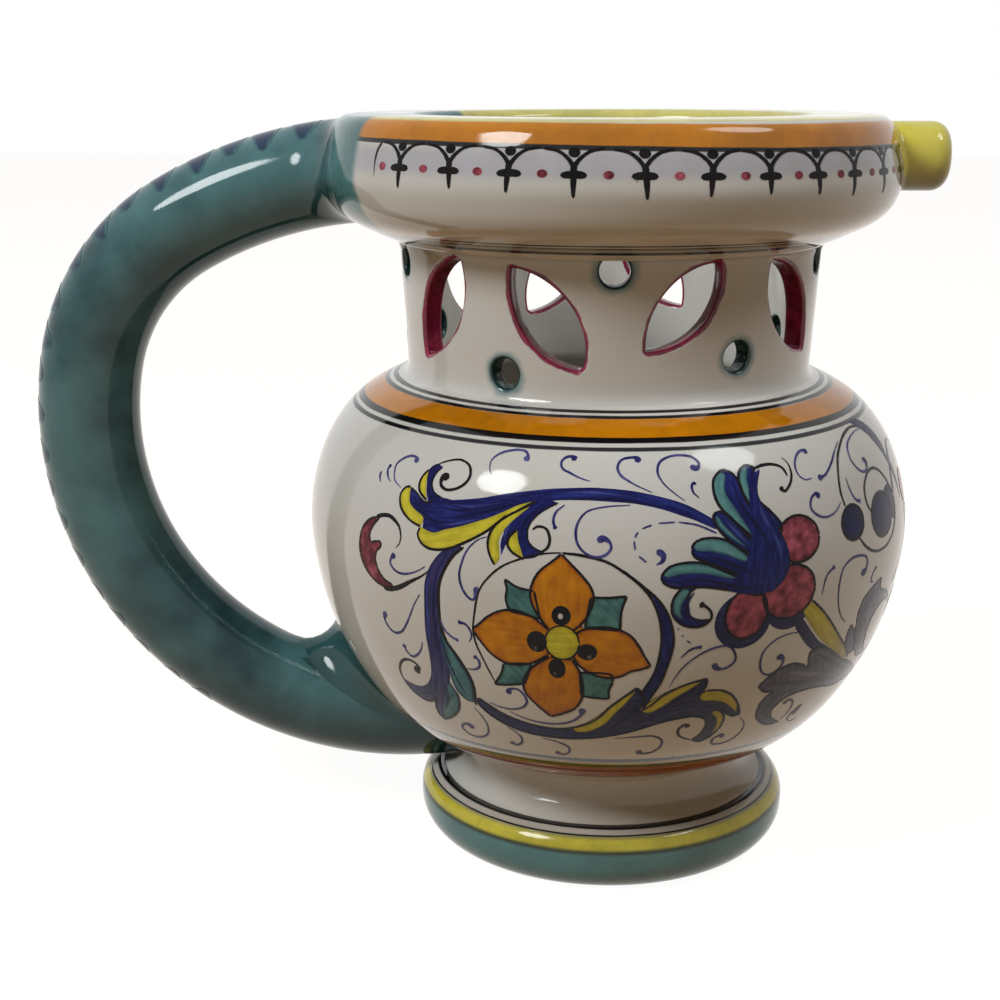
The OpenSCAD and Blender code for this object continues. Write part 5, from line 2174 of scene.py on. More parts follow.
MAUVE_LEAVES = (
    (((40.2, 50.9), (42.6, 51.2), (45.5, 50.3), (48.8, 48.4), (52.7, 46.3), (57, 44.6), (61, 42.7), (66, 40.4)),
     ((66, 40.4), (60, 39.9), (54, 40.3), (49, 41.5), (44, 42.2), (40.2, 42.2), (37.3, 41.3), (35.9, 39.6),
      (36.6, 38), (38.3, 36.7), (40.4, 35.8)),
     ((40.4, 35.8), (37.8, 35.8), (34.9, 36.8), (32.5, 38.6), (31.7, 40.9), (32.3, 42.9), (33.9, 44)),
     ((33.9, 44), (31.4, 44.6), (29.8, 45.9)),
     ((29.8, 45.9), (31.5, 47.6), (33.9, 48.9), (36.8, 49.3), (39.4, 48.5), (41.2, 47.4)),
     ((41.2, 47.4), (40.6, 49), (40.2, 50.9))),
    (((60.3, 60.3), (56.5, 59.3), (53.7, 57.7), (52.9, 55.4), (53.4, 52.9), (54.6, 50.2), (56.5, 47.5),
      (60, 44.8)),
     ((60, 44.8), (66, 44)),
     ((66, 44), (62, 46.4), (60, 49.3), (60, 52.2), (62.4, 54.2), (66.4, 54.6), (70, 53)),
     ((70, 53), (66, 56.2), (62.4, 57.4), (60.6, 58.4), (60.3, 60.3))),
    (((51.2, 53.6), (50.7, 51.8), (51.5, 49.3), (54, 46.8)), ((54, 46.8), (56.4, 47.2)),
     ((56.4, 47.2), (55, 49.6), (53.2, 52), (51.2, 53.6))),
)
MAUVE_STREAKS = (
    (0.95, ((42, 50.2), (47, 47.6), (53, 44.6), (60, 42))),
    (0.95, ((31.4, 46), (35, 45.6), (40, 44.6), (46, 43.6), (54, 42))),
    (0.1, ((33, 47.2), (37, 47.4), (42, 46), (48, 44.8))),
    (0.95, ((39, 36.6), (35.6, 38), (34, 40), (35.4, 42.4), (40, 43.4))),
    (0.95, ((57.6, 58.4), (55, 55.6), (55.4, 52), (58, 48), (61, 45.4))),
    (0.1, ((59.6, 58), (57.4, 55), (58, 51))),
    (0.9, ((67, 84), (70, 80.6), (71.8, 76.6), (72.6, 72))),
    (0.2, ((74.6, 74), (76.6, 70), (77, 65), (75.4, 60))),
)
MAUVE_SPIRAL = ((38.6, 40.2), (39.2, 41), (40.6, 40.7), (41.6, 39.6), (41.6, 37.8), (40.4, 36.2))
STALKS = (
    ((47.5, 75.5), (47.1, 77.8), (47.8, 80.3), (49.8, 83), (52.9, 84.8), (57.2, 86.1), (62, 86.5), (68, 85.4)),
    ((50.4, 69.8), (52.3, 67.9), (55.2, 66.4), (58.1, 65.9), (61.5, 66.2), (64.8, 67.8), (66.8, 70.6),
     (67.6, 74)),
    ((55.5, 73.2), (54.5, 75), (54.8, 77.2), (56.8, 79), (60, 79.8), (63, 79), (65.2, 77), (67.2, 74)),
)
HOOKS = (
    ((-38.3, 82.8), (-38.4, 83.5), (-40.1, 83.7), (-41.9, 83), (-42.9, 82), (-42.7, 80.8), (-41.9, 79.6),
     (-39.7, 78.6)),
    ((-44.3, 81.8), (-44.7, 80.9), (-43.8, 79.7), (-42.7, 79.1)),
    ((-46.2, 80.4), (-46.3, 79.7), (-45.5, 78.6)),
    ((-15.3, 85.2), (-14.9, 85.9), (-15.4, 86.5), (-16.8, 86.7), (-18.7, 86.5), (-20.7, 85.9), (-21.9, 84.9),
     (-21.8, 83.7), (-21.1, 82.8)),
    ((-5.6, 85.7), (-6.3, 86.2), (-7.7, 86), (-8.3, 85.3), (-7.9, 84.5), (-6.4, 83.9), (-4.4, 83.2),
     (-2.6, 82.8)),
    ((6.1, 85.5), (5.9, 86.1), (4.4, 86.2), (2.8, 85.8), (2.2, 84.9), (2.6, 83.9), (4.8, 82.6), (8.3, 81.2)),
    ((15.7, 84.8), (17, 84.5), (17.6, 85.1), (16.6, 86), (14.4, 86.4), (11.8, 86.2), (10, 85.4), (9.5, 84.1),
     (10.3, 82.6), (12.2, 81), (14, 79.8)),
    ((16.4, 82.3), (15.6, 82.3), (15.5, 81.2), (16.6, 80.1)),
    ((-8.2, 75.4), (-8.7, 76.8), (-8.3, 78.1), (-6.8, 79.3)),
    ((-1, 73.6), (-0.4, 74.3), (0.9, 73.7), (1.1, 72.7), (0.2, 71.7), (-1.3, 71.3), (-3.1, 71.9), (-4.4, 73.3),
     (-4.8, 75.2), (-4.4, 76.8), (-3.1, 78.3), (0, 79.1), (4.4, 79.4)),
    ((-38.5, 67.6), (-39.5, 66.9), (-39.7, 65.9), (-38.6, 64.9), (-36.9, 64.6), (-34.5, 65.2), (-32.7, 66.1),
     (-31.6, 66.9)),
    ((-42.1, 56.4), (-42.8, 55), (-42.1, 53.5), (-40.6, 52.8), (-38.6, 53.5), (-37.1, 55.2), (-35.8, 57.2),
     (-34.5, 59.5), (-32.9, 61.8)),
    ((-38.8, 51), (-38.6, 49.8), (-37.3, 48.9), (-35.8, 49.6), (-34.5, 51), (-33.8, 52.7)),
    ((-21.4, 64.9), (-22.2, 62.5), (-23.1, 62.8), (-24.2, 64.2), (-24.8, 66.3), (-24.4, 68.6), (-23.5, 70.8),
     (-21.8, 72.6), (-20, 73.4)),
    ((-25.7, 54.4), (-27.2, 55), (-28.5, 56.2), (-29.1, 58.1)),
    ((-25.5, 58), (-24, 57.8), (-23.1, 56.6), (-23.1, 55.4), (-23.7, 54.6)),
    ((-23.1, 52), (-22.2, 51.3), (-22.2, 50), (-23.3, 49.3), (-25, 49.1)),
    ((-17.2, 45.2), (-17, 46.2), (-15.4, 46.5), (-14.3, 45.5), (-13.9, 44), (-14.8, 42.8), (-17, 42),
     (-19.6, 42.1), (-21.8, 42.8)),
    ((-3.5, 43.6), (-3.8, 42.2), (-5.4, 40.7), (-8.2, 39.8), (-11.6, 39.7), (-15, 40.3), (-17.8, 41.4)),
    ((-27.7, 35.4), (-28.8, 36.2), (-30.3, 35.8), (-30.9, 34.7), (-30.1, 33.7), (-28.3, 33.3), (-26.1, 33.8),
     (-24.4, 35.1), (-23.8, 37.2), (-24.4, 39.1), (-25.6, 40.9)),
    ((-19.6, 33.9), (-18.7, 33.3), (-17.4, 33.7), (-16.6, 35.1), (-17.4, 36.4), (-19.2, 37.6)),
    ((-9.9, 32.7), (-8.2, 32.1), (-6.8, 32.9), (-6.8, 34.2), (-8.8, 35.3), (-12.2, 36)),
    ((7.6, 33.7), (8.8, 32.9), (11, 33.2), (12.4, 34.5), (12.4, 36.1), (10.5, 37.2), (7.1, 37.2), (2.5, 36.8)),
    ((26.2, 35.1), (25.3, 35.8), (23.8, 35), (24.3, 33.8), (26.7, 33.5), (29.1, 34.3), (30.3, 36.1),
     (29.9, 37.9), (27.9, 39.7)),
    ((17, 55.5), (15, 55.1), (13.3, 53.5)),
    ((19.5, 52.1), (20.1, 51.1), (21.8, 50.8), (23.5, 52.1), (23.2, 53.7), (21.8, 55.1), (19.5, 55.1),
     (16.7, 54), (14.1, 51.9), (12.7, 49.7), (11.9, 47.9)),
    ((32.3, 51), (33, 51.4), (33.9, 50.6), (33.7, 49.3), (31.5, 48.1), (29.6, 49), (28.8, 51.1), (29.1, 53.1),
     (31.1, 54.9), (33.9, 55.6), (36.8, 55.4)),
    ((51.4, 63.8), (52.1, 63.1), (53.1, 64.5), (52.6, 65.9), (50.4, 66.6), (48, 66.6), (45.6, 65.4),
     (44.8, 63.2), (44.8, 60.9), (45.6, 58.2), (47.2, 55.9), (48.8, 54.7)),
    ((43.2, 66.2), (41.3, 65), (40.6, 63.2), (40.4, 61.6)),
    ((42.2, 84.8), (41.3, 85.3), (39.4, 84.9), (37.7, 83.4), (37.7, 82), (38.9, 81.1), (40.8, 81.1)),
    ((41.2, 77.9), (40.6, 78.7), (39.1, 78), (38.6, 76.6), (40.1, 75.2), (42.2, 74.7), (44.6, 75.2),
     (46.6, 76.5)),
    ((52.6, 75.6), (51.4, 75.9), (50.4, 77), (49.9, 78.6), (49.9, 80)),
    ((57.8, 81.6), (58.8, 81.4), (58.4, 80.2), (56.7, 79.8), (54.8, 80.7), (53.8, 82.3), (54.8, 84.1),
     (57.6, 85.2), (62, 85.8), (65.8, 85.7)),
    ((42.2, 80.9), (44.2, 81.1), (47.1, 82.5), (49.9, 84.1), (53, 85.4)),
    ((57, 63.2), (55.8, 62.2), (55.4, 60.8), (56.6, 60.4)),
    ((44.2, 36.4), (45.4, 38.4), (43.6, 37.6), (43, 36), (44.8, 34.8), (47, 34.9)),
)
HOOK_BLOT = ((8.6, 72.4), (9.7, 71.6), (9.6, 70.7), (8.5, 70.1))
HOOK_DASHES = (
    ((7, 70.5), (5.6, 71.6)), ((5.1, 72.4), (4.9, 74)), ((5, 74.4), (5.6, 75.4)), ((6.2, 75.8), (8, 76.4)),
    ((9, 76.6), (12, 76.7)), ((12.4, 76.7), (15.7, 76.1), (19.2, 74.6)), ((12.4, 59.2), (12.6, 58.9)),
    ((13.2, 57.9), (13.5, 57.6)), ((14.1, 56.8), (14.9, 56.3)),
)
SIDE_STALKS = (
    ((66, 42), (72, 42.4), (78, 45), (83, 50), (86.5, 56), (90, 61)), ((66, 44), (70, 46), (73, 50), (73, 55)),
    ((69, 57), (73, 60), (76, 64), (76, 69)), ((67.4, 74), (70, 78), (74, 81), (79, 81.6), (83, 79.6)),
)
SIDE_LEAVES = (
    (((90, 76), (87.4, 73), (86.6, 69), (88, 65.4), (90, 63)),
     ((90, 63), (92, 65.4), (93.4, 69), (92.6, 73), (90, 76))),
    (((80, 69.4), (81, 66.2), (83.6, 63.6), (87, 62.2), (90, 62)),
     ((90, 62), (88.4, 65), (85.6, 67.6), (80, 69.4))),
    (((78.6, 58.6), (81.4, 57), (85, 57), (88, 58.4), (90, 61)),
     ((90, 61), (86.4, 61.6), (82, 60.8), (78.6, 58.6))),
)
SIDE_BERRIES = ((78, 73.4, 3.4, 2.9), (75.6, 51.6, 3.4, 3.0))


class Ornament:
    """The belly's brush painting: a flower in a ring, acanthus scrolls, a palmette, berries and fine hooks."""

    line = 0.42
    hook = 0.43

    def __init__(self, shapes: Shapes) -> None:
        """Start a coat for each pigment."""
        wall = LatheWall(shapes.skin)
        self.coats = {
            pigment: PaintCoat("belly_" + pigment.name, wall, pigment, mirrored=True)
            for pigment in (
                INK_PAINT, HOOK_PAINT, COBALT_PAINT, VIOLET_PAINT, TEAL_PAINT, YELLOW_PAINT, ORANGE_PAINT,
                MAGENTA_PAINT, NAVY_PAINT, MAUVE_PAINT, STREAK_PAINT, MAUVE_STREAK, TEAL_ON_BLUE,
                YELLOW_ON_BLUE, DOT_PAINT)
        }
        self.ink = self.coats[INK_PAINT]

    def streaks(self, rows: Sequence, pigment: Pigment, width: float) -> None:
        """Draw fine streaks, given by their tone and their spots, over a wash."""
        for tone, path in rows:
            self.coats[pigment].stroke(path, width, Touch.SWELL, tone, Layer.SHADE)

    def fill(
        self, shapes: Sequence, pigment: Pigment, tone: float, line: float, layer: Layer = Layer.WASH,
        drawn: Optional[int] = None,
    ) -> None:
        """Fill shapes with a pigment and draw their outlines.

        Args:
            shapes: The edges of each shape.
            pigment: The pigment of the filling.
            tone: How thick it lies.
            line: The outline's width, or 0 for none.
            layer: How far the filling stands off the glaze.
            drawn: How many of the edges are outlined, or None for all.
        """
        for edges in shapes:
            self.coats[pigment].patch(edges, tone, layer)
            if line:
                self.ink.outline(edges[:drawn], line)

    def berries(self, spots: Sequence, pigment: Pigment, tone: float, line: float, layer: Layer) -> None:
        """Fill ovals given by their middles and half sizes."""
        self.fill([(oval(*spot),) for spot in spots], pigment, tone, line, layer)

    def paint_flower(self) -> None:
        """Paint the flower and its ring."""
        line, ink = self.line, self.ink
        self.fill(FLOWER_LEAVES, TEAL_PAINT, 0.45, line)
        self.fill(PETALS, ORANGE_PAINT, 0.45, line, Layer.SHADE)
        heart = oval(*FLOWER_HEART)
        self.coats[ORANGE_PAINT].patch((oval(*FLOWER_BASE),), 0.6, Layer.GROUND)
        self.coats[YELLOW_PAINT].patch((heart,), 0.3, Layer.DOT)
        ink.stroke(heart, 0.3, Touch.EVEN, 0.8, Layer.TOP)
        for spot in SEEDS:
            ink.patch((oval(*spot),), 0.95, Layer.TOP)
        for spot in SEED_DOTS:
            self.coats[DOT_PAINT].patch((oval(*spot),), 0.1, Layer.GLINT)
        ink.stroke(RING_THIN, 0.34, Touch.LINE, 0.7)
        ink.stroke(RING_TOP, 0.5, Touch.LINE, 0.7)
        self.coats[COBALT_PAINT].patch((RING_CRESCENT[0], RING_CRESCENT[2][::-1], RING_CRESCENT[1][::-1]), 0.85)
        ink.outline(RING_CRESCENT[:2], 0.4)

    def paint_scrolls(self) -> None:
        """Paint the stems, the acanthus leaves and the scroll under the ring."""
        line, ink, coats = self.line, self.ink, self.coats
        coats[COBALT_PAINT].stroke(MAIN_STEM, MAIN_STEM_WIDTH, Touch.LINE, 0.75, Layer.GROUND)
        self.fill(ACANTHUS_BLUES, COBALT_PAINT, 0.8, 0.3, drawn=1)
        self.streaks(BLUE_STREAKS, STREAK_PAINT, 0.8)
        self.fill(ACANTHUS_YELLOWS, YELLOW_PAINT, 0.15, 0.45, Layer.TINT, 1)
        ink.stroke(SPIRAL_TOP, 0.5, Touch.HOOK, 0.9)
        ink.stroke(SMALL_CURL, 0.45, Touch.LINE, 0.8)
        self.fill((MAGENTA_LEAF,), MAGENTA_PAINT, 0.9, 0.34)
        ink.stroke(MAGENTA_TAIL, 1.0, Touch.TAIL, 0.85)
        ink.stroke(MAGENTA_CURL, 0.8, Touch.TAIL, 0.85)
        self.fill((LEFT_STEM,), VIOLET_PAINT, 0.75, 0)
        self.fill(LEFT_STEM_TEALS, TEAL_ON_BLUE, 0.6, 0, Layer.SHADE)
        self.streaks(LEFT_STREAKS, STREAK_PAINT, 0.7)
        ink.stroke(LEFT_STEM_RIGHT, 0.6, Touch.LINE)
        ink.stroke(LEFT_STEM_TEALS[1][0], 0.4, Touch.LINE)
        ink.outline(LEFT_STEM[1:3], 0.34)
        ink.stroke(LEFT_SPIRAL, 0.5, Touch.HOOK, 0.85)
        self.fill((BOTTOM_SCROLL,), VIOLET_PAINT, 0.85, line)
        self.streaks(SCROLL_STREAKS, STREAK_PAINT, 0.8)
        for path, width in zip(SCROLL_YELLOWS, SCROLL_YELLOW_WIDTHS):
            coats[YELLOW_ON_BLUE].stroke(path, width, Touch.LEAF, 0.2, Layer.TINT)
        ink.stroke(SCROLL_SPIRAL, 0.5, Touch.HOOK, 0.9)

    def paint_palmette(self) -> None:
        """Paint the teal and blue palmette with its berries and stem."""
        line, ink, coats = self.line, self.ink, self.coats
        self.berries(BERRY_SHADOWS, VIOLET_PAINT, 0.9, 0, Layer.WASH)
        coats[VIOLET_PAINT].stroke(STEM_SHADOW, 2.2, Touch.LEAF, 0.85, Layer.GROUND)
        self.fill((YELLOW_STEM,), YELLOW_PAINT, 0.35, 0.4, Layer.SHADE, 1)
        self.berries(BERRIES, MAGENTA_PAINT, 0.6, 0.45, Layer.SHADE)
        self.fill(PALMETTE, COBALT_PAINT, 0.75, line)
        for width, path in PALMETTE_TEALS:
            coats[TEAL_ON_BLUE].stroke(path, width, Touch.LEAF, 0.3, Layer.SHADE)
        coats[COBALT_PAINT].patch(PALMETTE_HEART, 0.8, Layer.DOT)
        for tone, path in PALMETTE_STREAKS:
            coats[STREAK_PAINT].stroke(path, 0.9, Touch.SWELL, tone, Layer.TOP)
        ink.stroke(PALMETTE_HEART[0], 0.34, Touch.LINE)
        ink.stroke(PALMETTE_HOOK, 0.5, Touch.LINE, 0.9)
        ink.stroke(PALMETTE_HOOK_END, 0.45, Touch.HOOK, 0.9)
        ink.stroke(PALMETTE_CURL, 0.5, Touch.HOOK, 0.9)

    def paint_side(self) -> None:
        """Paint the berries, leaves and stalks towards the spout."""
        ink = self.ink
        self.fill(MAUVE_LEAVES, MAUVE_PAINT, 0.7, 0.34)
        self.streaks(MAUVE_STREAKS, MAUVE_STREAK, 1.5)
        self.fill(NAVY_LEAVES, NAVY_PAINT, 0.7, 0)
        ink.stroke(MAUVE_SPIRAL, 0.45, Touch.HOOK, 0.7)
        self.berries(NAVY_BERRIES, NAVY_PAINT, 0.7, 0.4, Layer.SHADE)
        for path in STALKS:
            ink.stroke(path, 0.5, Touch.LINE, 0.8)
        for path in SIDE_STALKS:
            self.coats[COBALT_PAINT].stroke(path, 1.0, Touch.TAIL, 0.7, Layer.WASH)
        self.fill(SIDE_LEAVES, TEAL_PAINT, 0.5, 0.36)
        self.berries(SIDE_BERRIES, MAGENTA_PAINT, 0.4, 0.4, Layer.SHADE)

    def paint_hooks(self) -> None:
        """Paint the fine hooks, each with a blot where the brush starts."""
        coat = self.coats[HOOK_PAINT]
        for path in HOOKS:
            coat.stroke(path, self.hook, Touch.HOOK, 0.55)
        coat.stroke(HOOK_BLOT, 1.1, Touch.COMMA, 0.9)
        for path in HOOK_DASHES:
            coat.stroke(path, 0.3, Touch.LINE, 0.4)

    def build(self, effects: Effects) -> None:
        """Paint everything and make the coats."""
        self.paint_flower()
        self.paint_scrolls()
        self.paint_palmette()
        self.paint_side()
        self.paint_hooks()
        for coat in self.coats.values():
            coat.build(effects)


CROSS_TURNS = (-40.7, -29.3, -17.5, -6.2, 5.8, 17.6, 28.4, 38.8, 49, 60.1)
CROSS_STEP = 11.3
ARCH = ((0, -2.9), (1.0, -1.7), (2.7, -0.6), (5.4, -0.1))


class RimBorder:
    """The row of crosses and arches that hangs from the rim's dark line."""

    line_left = 136.3
    line_fall = 0.013
    bar = 2.3
    bar_drop = 4.2
    tail_drop = 7.4

    def __init__(self, shapes: Shapes, handle_turn: float = 35.0, spout_turn: float = 9.0) -> None:
        """Place the crosses all around, but not under the handle's teal or at the spout.

        Args:
            shapes: The jug's outlines.
            handle_turn: Angle on each side of the handle that stays teal.
            spout_turn: Angle on each side of the spout that stays bare.
        """
        wall = LatheWall(shapes.skin)
        self.ink = PaintCoat("rim_crosses", wall, INK_PAINT)
        self.dots = PaintCoat("rim_dots", wall, MAGENTA_PAINT)
        turns = list(CROSS_TURNS)
        while turns[-1] < 270 - handle_turn:
            turns.append(turns[-1] + CROSS_STEP)
        self.turns = [turn for turn in turns if abs(turn - 90) > spout_turn and turn < 268 - handle_turn]

    def height(self, turn: float) -> float:
        """Give the dark line's height at a turn. It was drawn a little aslant."""
        return self.line_left - self.line_fall * 53 * (math.sin(math.radians(turn)) + 0.85)

    def build(self, effects: Effects) -> None:
        """Paint each cross with its arches and dots.

        Args:
            effects: The shared shader groups.
        """
        for number, turn in enumerate(self.turns):
            top = self.height(turn)
            lean = 0.25 * math.sin(number * 2.1)
            low = top - self.tail_drop + 0.4 * math.sin(number * 1.3)
            bar = top - self.bar_drop
            self.ink.stroke(
                [(turn - self.bar, bar), (turn, bar + 0.15), (turn + self.bar, bar)], 1.25, Touch.BAR)
            self.ink.stroke(
                [(turn, top - 2.4), (turn + lean, bar), (turn + lean * 2, low)], 1.15, Touch.PRONG)
            for side in (-1, 1):
                self.ink.stroke([(turn + side * off, top + drop) for off, drop in ARCH], 0.62, Touch.ARCH)
            self.ink.patch((oval(turn, top - 0.75, 1.05, 0.75),), 0.9, Layer.LINE)
            self.dots.patch((oval(turn + 5.9, bar + 0.1, 0.95, 0.65),), 0.55, Layer.LINE)
        first = self.turns[0] - CROSS_STEP
        top = self.height(first)
        self.ink.stroke(
            [(first + 5.2, top - 0.3), (first + 4.2, top - 2.0), (first + 4.3, top - 6)], 0.5, Touch.TAIL)
        self.dots.patch((oval(first + 6.6, top - 4.1, 0.9, 0.7),), 0.55, Layer.LINE)
        self.ink.build(effects)
        self.dots.build(effects)


class HandleDabs:
    """The dark dabs across the handle's back."""

    first_run = 9.0
    spacing = 6.5
    reach = 45.0
    width = 5.0

    def __init__(self, handle: Handle) -> None:
        """Start the coat."""
        self.line = handle.line
        self.coat = PaintCoat("handle_dabs", TubeWall(handle.line, handle.tube_r), DAB_PAINT)

    def build(self, effects: Effects) -> None:
        """Paint the dabs down to the lower root."""
        count = int((self.line.length * 0.78 - self.first_run) / self.spacing)
        for number in range(count):
            run = self.first_run + number * self.spacing + 0.5 * math.sin(number * 1.7)
            reach = self.reach + 5 * math.sin(number * 2.3)
            self.coat.stroke(
                [(180 - reach, run + 0.4), (180, run), (180 + reach, run + 0.3)], self.width, Touch.DAB, 0.6)
        self.coat.build(effects)


class Glazes:
    """The glazes of the jug's own pieces, each with the rings and washes painted on it."""

    def __init__(self, shapes: Shapes, effects: Effects) -> None:
        """Make every glaze.

        Args:
            shapes: The jug's outlines, which place the rings.
            effects: The shared shader groups.
        """
        skin = shapes.skin
        self.white = Glaze("white_tin_glaze").material(effects)
        self.foot = Glaze("foot_bands", cloud_amount=0.8, rings=(
            band(skin, 11.4, 12.3, BISQUE_GREY, soft=0.3, cover=0.35),
            band(skin, 8.8, 11.3, YELLOW, soft=0.3),
            line_at(skin, 11.3, 0.7, OLIVE, soft=0.5, cover=0.7),
            Ring(skin.run_at(8.8) / 2, skin.run_at(8.8), TEAL, soft=0.25, waver=0.5),
            line_at(skin, 8.85, 0.8, OLIVE_DARK, soft=0.4),
            line_at(skin, 11.5, 0.35, INK),
            line_at(skin, 12.35, 1.5, INK, soft=0.2),
            Ring(0.3, 1.8, BISQUE_GREY, soft=0.5, waver=0.8, cover=0.8),
        )).material(effects)
        shoulder = Ring(skin.run_at(91.36) + 1.7, 1.0, INK)
        self.belly = Glaze("belly_bands", rings=(
            band(skin, 88.6, 91.2, ORANGE, soft=0.2),
            shoulder,
            line_at(skin, 91.36, 0.9, INK),
            line_at(skin, 88.5, 1.3, INK),
            line_at(skin, 87.3, 0.85, INK),
            band(skin, 24.7, 29.0, ORANGE_DEEP, soft=0.25),
            line_at(skin, 30.9, 1.2, INK),
            line_at(skin, 29.2, 1.0, INK),
            line_at(skin, 24.6, 1.3, INK),
            line_at(skin, 23.5, 0.8, SLATE),
            line_at(skin, 21.3, 0.35, OLIVE, cover=0.7),
        ), washes=(
            Wash("root_gap", 5.2, TEAL, TEAL_DEEP, soft=0.9, waver=2.5),
        )).material(effects)
        self.neck = Glaze("neck_glaze", rings=(shoulder,), washes=(
            Wash("hole_gap", 1.15, TEAL, TEAL_DEEP, soft=0.9, waver=1.8, grain=260.0, cover=0.85),
            Wash("hole_gap", 0.4, GREEN_DARK, TEAL_DARK, soft=0.4, waver=0.8, grain=260.0),
            Wash("leaf_gap", 0.7, MAGENTA, MAGENTA_DEEP, soft=0.14, waver=1.5, grain=230.0, cloud_size=300.0),
            Wash("leaf_gap", -0.4, MAGENTA_DEEP, MAGENTA, soft=0.6, waver=1.6, grain=300.0, cloud_size=300.0),
        )).material(effects)
        self.rim = Glaze("rim_bands", rings=(
            band(skin, 131.2, 135.4, LAVENDER, soft=1.2, cover=0.5, waver=1.2),
            band(skin, 135.65, 139.5, ORANGE, soft=0.25, tilt=0.016, waver=0.8),
            Ring(skin.run_at(139.55) + 20, 40.0, YELLOW_PALE, soft=0.4),
            line_at(skin, 135.65, 0.8, INK, tilt=0.016),
            line_at(skin, 119.3, 1.6, OLIVE, soft=0.3, cover=0.7),
            line_at(skin, 120.0, 0.6, INK),
            line_at(skin, 119.5, 0.4, INK),
            line_at(skin, 118.5, 1.6, SLATE, soft=0.2),
        ), washes=(
            Wash("away", 35.0, TEAL, TEAL_DEEP, soft=1.3, waver=5.0),
        )).material(effects)
        # The wash on lift is painted shade: it darkens the undersides of the handle and its root coil, and its
        # whole bore. The wash on to_root makes the handle darker green near its lower root.
        self.handle = Glaze("handle_glaze", TEAL_LIGHT, TEAL_BLUE, 24.0, 1.0, specks=0.0, washes=(
            Wash("lift", -0.35, TEAL_DARK, GREEN_DARK, soft=0.8, waver=1.1, grain=50.0, cover=0.85),
            Wash("to_root", 22.0, GREEN_DARK, TEAL_DARK, soft=14.0, waver=12.0, grain=60.0, cover=0.7),
        )).material(effects)
        # The wash on lift is painted shade: olive on the undersides of the spout and its root coil.
        self.spout = Glaze("spout_glaze", YELLOW, YELLOW_PALE, 90.0, 0.6, washes=(
            Wash("lift", -0.45, OLIVE_YELLOW, OLIVE_DARK, soft=0.5, waver=0.8, cover=0.7),
        )).material(effects)


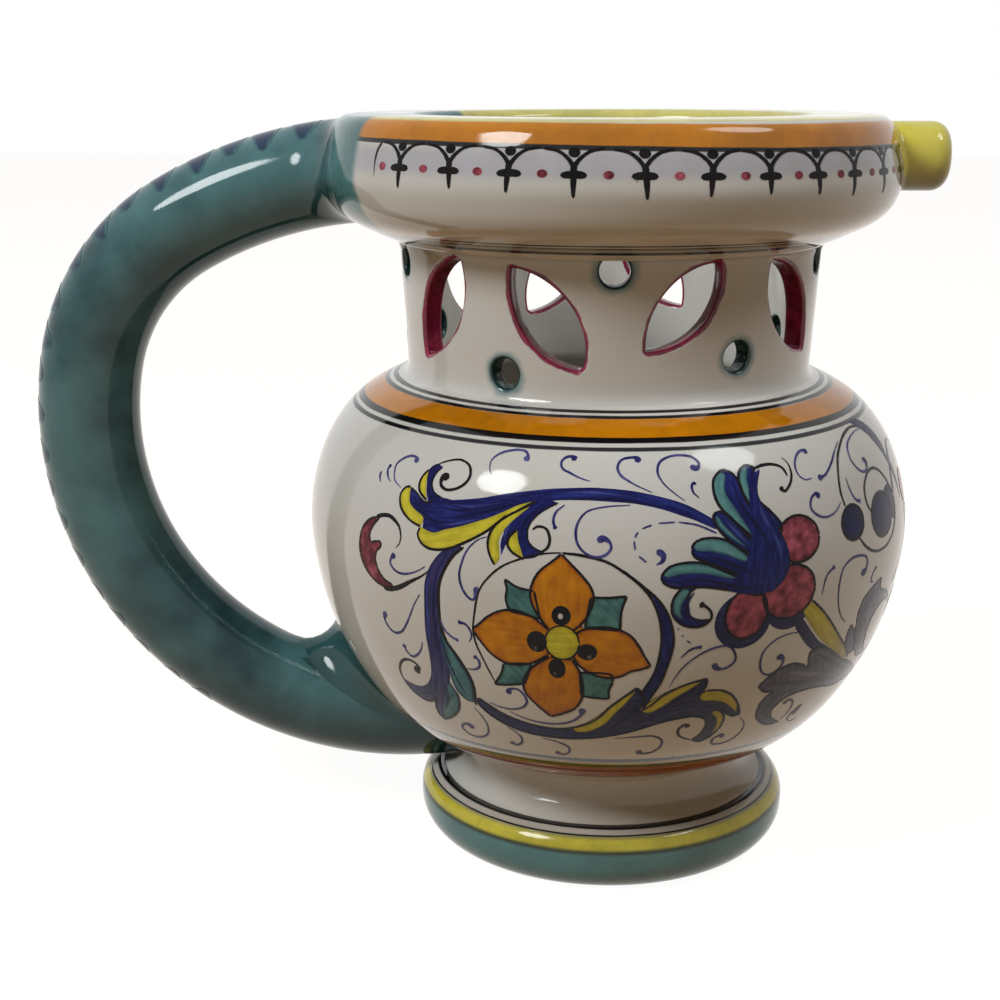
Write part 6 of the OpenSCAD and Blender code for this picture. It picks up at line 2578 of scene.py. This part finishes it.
@dataclass
class Studio:
    """A plain pale floor, a white surround, two soft lamps and the camera at the photograph's angle."""

    camera_place: tuple[float, float, float] = (0.0, -0.309242, 0.146045)
    camera_pitch: float = 14.485
    camera_yaw: float = -3.808
    lens: float = 58.68
    jug_middle: float = 0.085
    lamp_colour: Colour = (0.95, 0.99, 1.0)
    floor_size: float = 6.0
    floor_colour: Colour = (0.38, 0.24, 0.11)
    floor_glow: float = 0.96
    surround_light: float = 0.05
    surround_colour: Colour = (1.0, 0.75, 0.5)

    def add_camera(self) -> None:
        """Create the camera and make it the scene's."""
        data = bpy.data.cameras.new("camera")
        data.lens = self.lens
        data.sensor_width = 36.0
        data.clip_start = 0.01
        camera = bpy.data.objects.new("camera", data)
        camera.location = self.camera_place
        camera.rotation_euler = (math.radians(90 - self.camera_pitch), 0.0, math.radians(-self.camera_yaw))
        bpy.context.scene.collection.objects.link(camera)
        bpy.context.scene.camera = camera

    def add_lamp(self, name: str, turn: float, rise: float, away: float, size: float, watts: float) -> None:
        """Add a soft round lamp that looks at the jug.

        Args:
            name: The lamp's name.
            turn: Its direction around the jug, as a turn from the front.
            rise: Its angle above the horizon.
            away: Its distance in metres.
            size: Its width in metres.
            watts: Its power.
        """
        data = bpy.data.lights.new(name, "AREA")
        data.shape = "DISK"
        data.size = size
        data.energy = watts
        data.color = self.lamp_colour
        lamp = bpy.data.objects.new(name, data)
        around, up = math.radians(turn), math.radians(rise)
        way = Vector((math.sin(around) * math.cos(up), -math.cos(around) * math.cos(up), math.sin(up)))
        lamp.location = Vector((0, 0, self.jug_middle)) + way * away
        lamp.rotation_mode = "QUATERNION"
        lamp.rotation_quaternion = way.to_track_quat("Z", "Y")
        bpy.context.scene.collection.objects.link(lamp)

    def add_floor(self) -> None:
        """Add the pale floor, which keeps the jug's shadow."""
        half = self.floor_size / 2
        builder = Builder()
        corners = np.array([[-half, -half, 0], [half, -half, 0], [half, half, 0], [-half, half, 0]]) / MM
        builder.add(corners, np.tile([0, 0, 1.0], (4, 1)))
        builder.faces.append((0, 1, 2, 3))
        floor = builder.build("floor")
        material, graph, shader = new_material("pale_floor")
        shader.inputs["Base Color"].default_value = (*self.floor_colour, 1)
        shader.inputs["Roughness"].default_value = 0.9
        shader.inputs["Specular IOR Level"].default_value = 0.0
        shader.inputs["Emission Color"].default_value = (1, 1, 1, 1)
        graph.feed(shader.inputs["Emission Strength"], graph.times(graph.seen(), self.floor_glow))
        floor.data.materials.append(material)

    def add_surround(self) -> None:
        """Light the jug with a soft grey surround that shows as white."""
        world = bpy.data.worlds.new("surround")
        bpy.context.scene.world = world
        world.use_nodes = True
        graph = Graph(world.node_tree)
        back = world.node_tree.nodes["Background"]
        seen = graph.seen()
        graph.feed(back.inputs["Strength"], graph.between(seen, self.surround_light, 1.0))
        graph.feed(back.inputs["Color"], graph.mix(seen, self.surround_colour, (1.0, 1.0, 1.0)))

    def build(self) -> None:
        """Set up the whole studio."""
        scene = bpy.context.scene
        scene.view_settings.view_transform = "Standard"
        self.add_camera()
        self.add_floor()
        self.add_surround()
        self.add_lamp("left_lamp", -47.9, 41.1, 1.229, 0.38, 7.8)
        self.add_lamp("right_lamp", 70.0, 54.0, 0.7, 0.25, 1.4)


def main() -> None:
    """Build the studio and the dressed jug."""
    logging.basicConfig(level=logging.INFO, format="%(message)s")
    form = Form()
    shapes = Shapes(form)
    Studio().build()
    effects = Effects()
    glazes = Glazes(shapes, effects)
    rim = Rim(form, shapes)
    handle = Handle(form, shapes)
    spout = Spout(form, shapes)
    belly = Belly(form, shapes).build()
    add_value(belly, "root_gap", lambda spots: handle.line.gap(spots) - handle.tube_r)
    seat(Foot(form, shapes).build(), glazes.foot, Part.FOOT)
    seat(belly, glazes.belly, Part.BELLY)
    seat(Neck(form, shapes).build(), glazes.neck, Part.NECK)
    seat(rim.build_bowl(), glazes.rim, Part.RIM_SHELL)
    seat(rim.build_top(), glazes.rim, Part.RIM_CAP)
    seat(rim.build_mouth(), glazes.white, Part.MOUTH_RING)
    seat(handle.build(), glazes.handle, Part.HANDLE)
    seat(handle.build_root(), glazes.handle, Part.HANDLE_ROOT_COIL)
    seat(spout.build(), glazes.spout, Part.SPOUT)
    seat(spout.build_root(), glazes.spout, Part.SPOUT_COIL)
    Ornament(shapes).build(effects)
    RimBorder(shapes).build(effects)
    HandleDabs(handle).build(effects)
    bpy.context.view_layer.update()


if __name__ == "__main__":
    main()
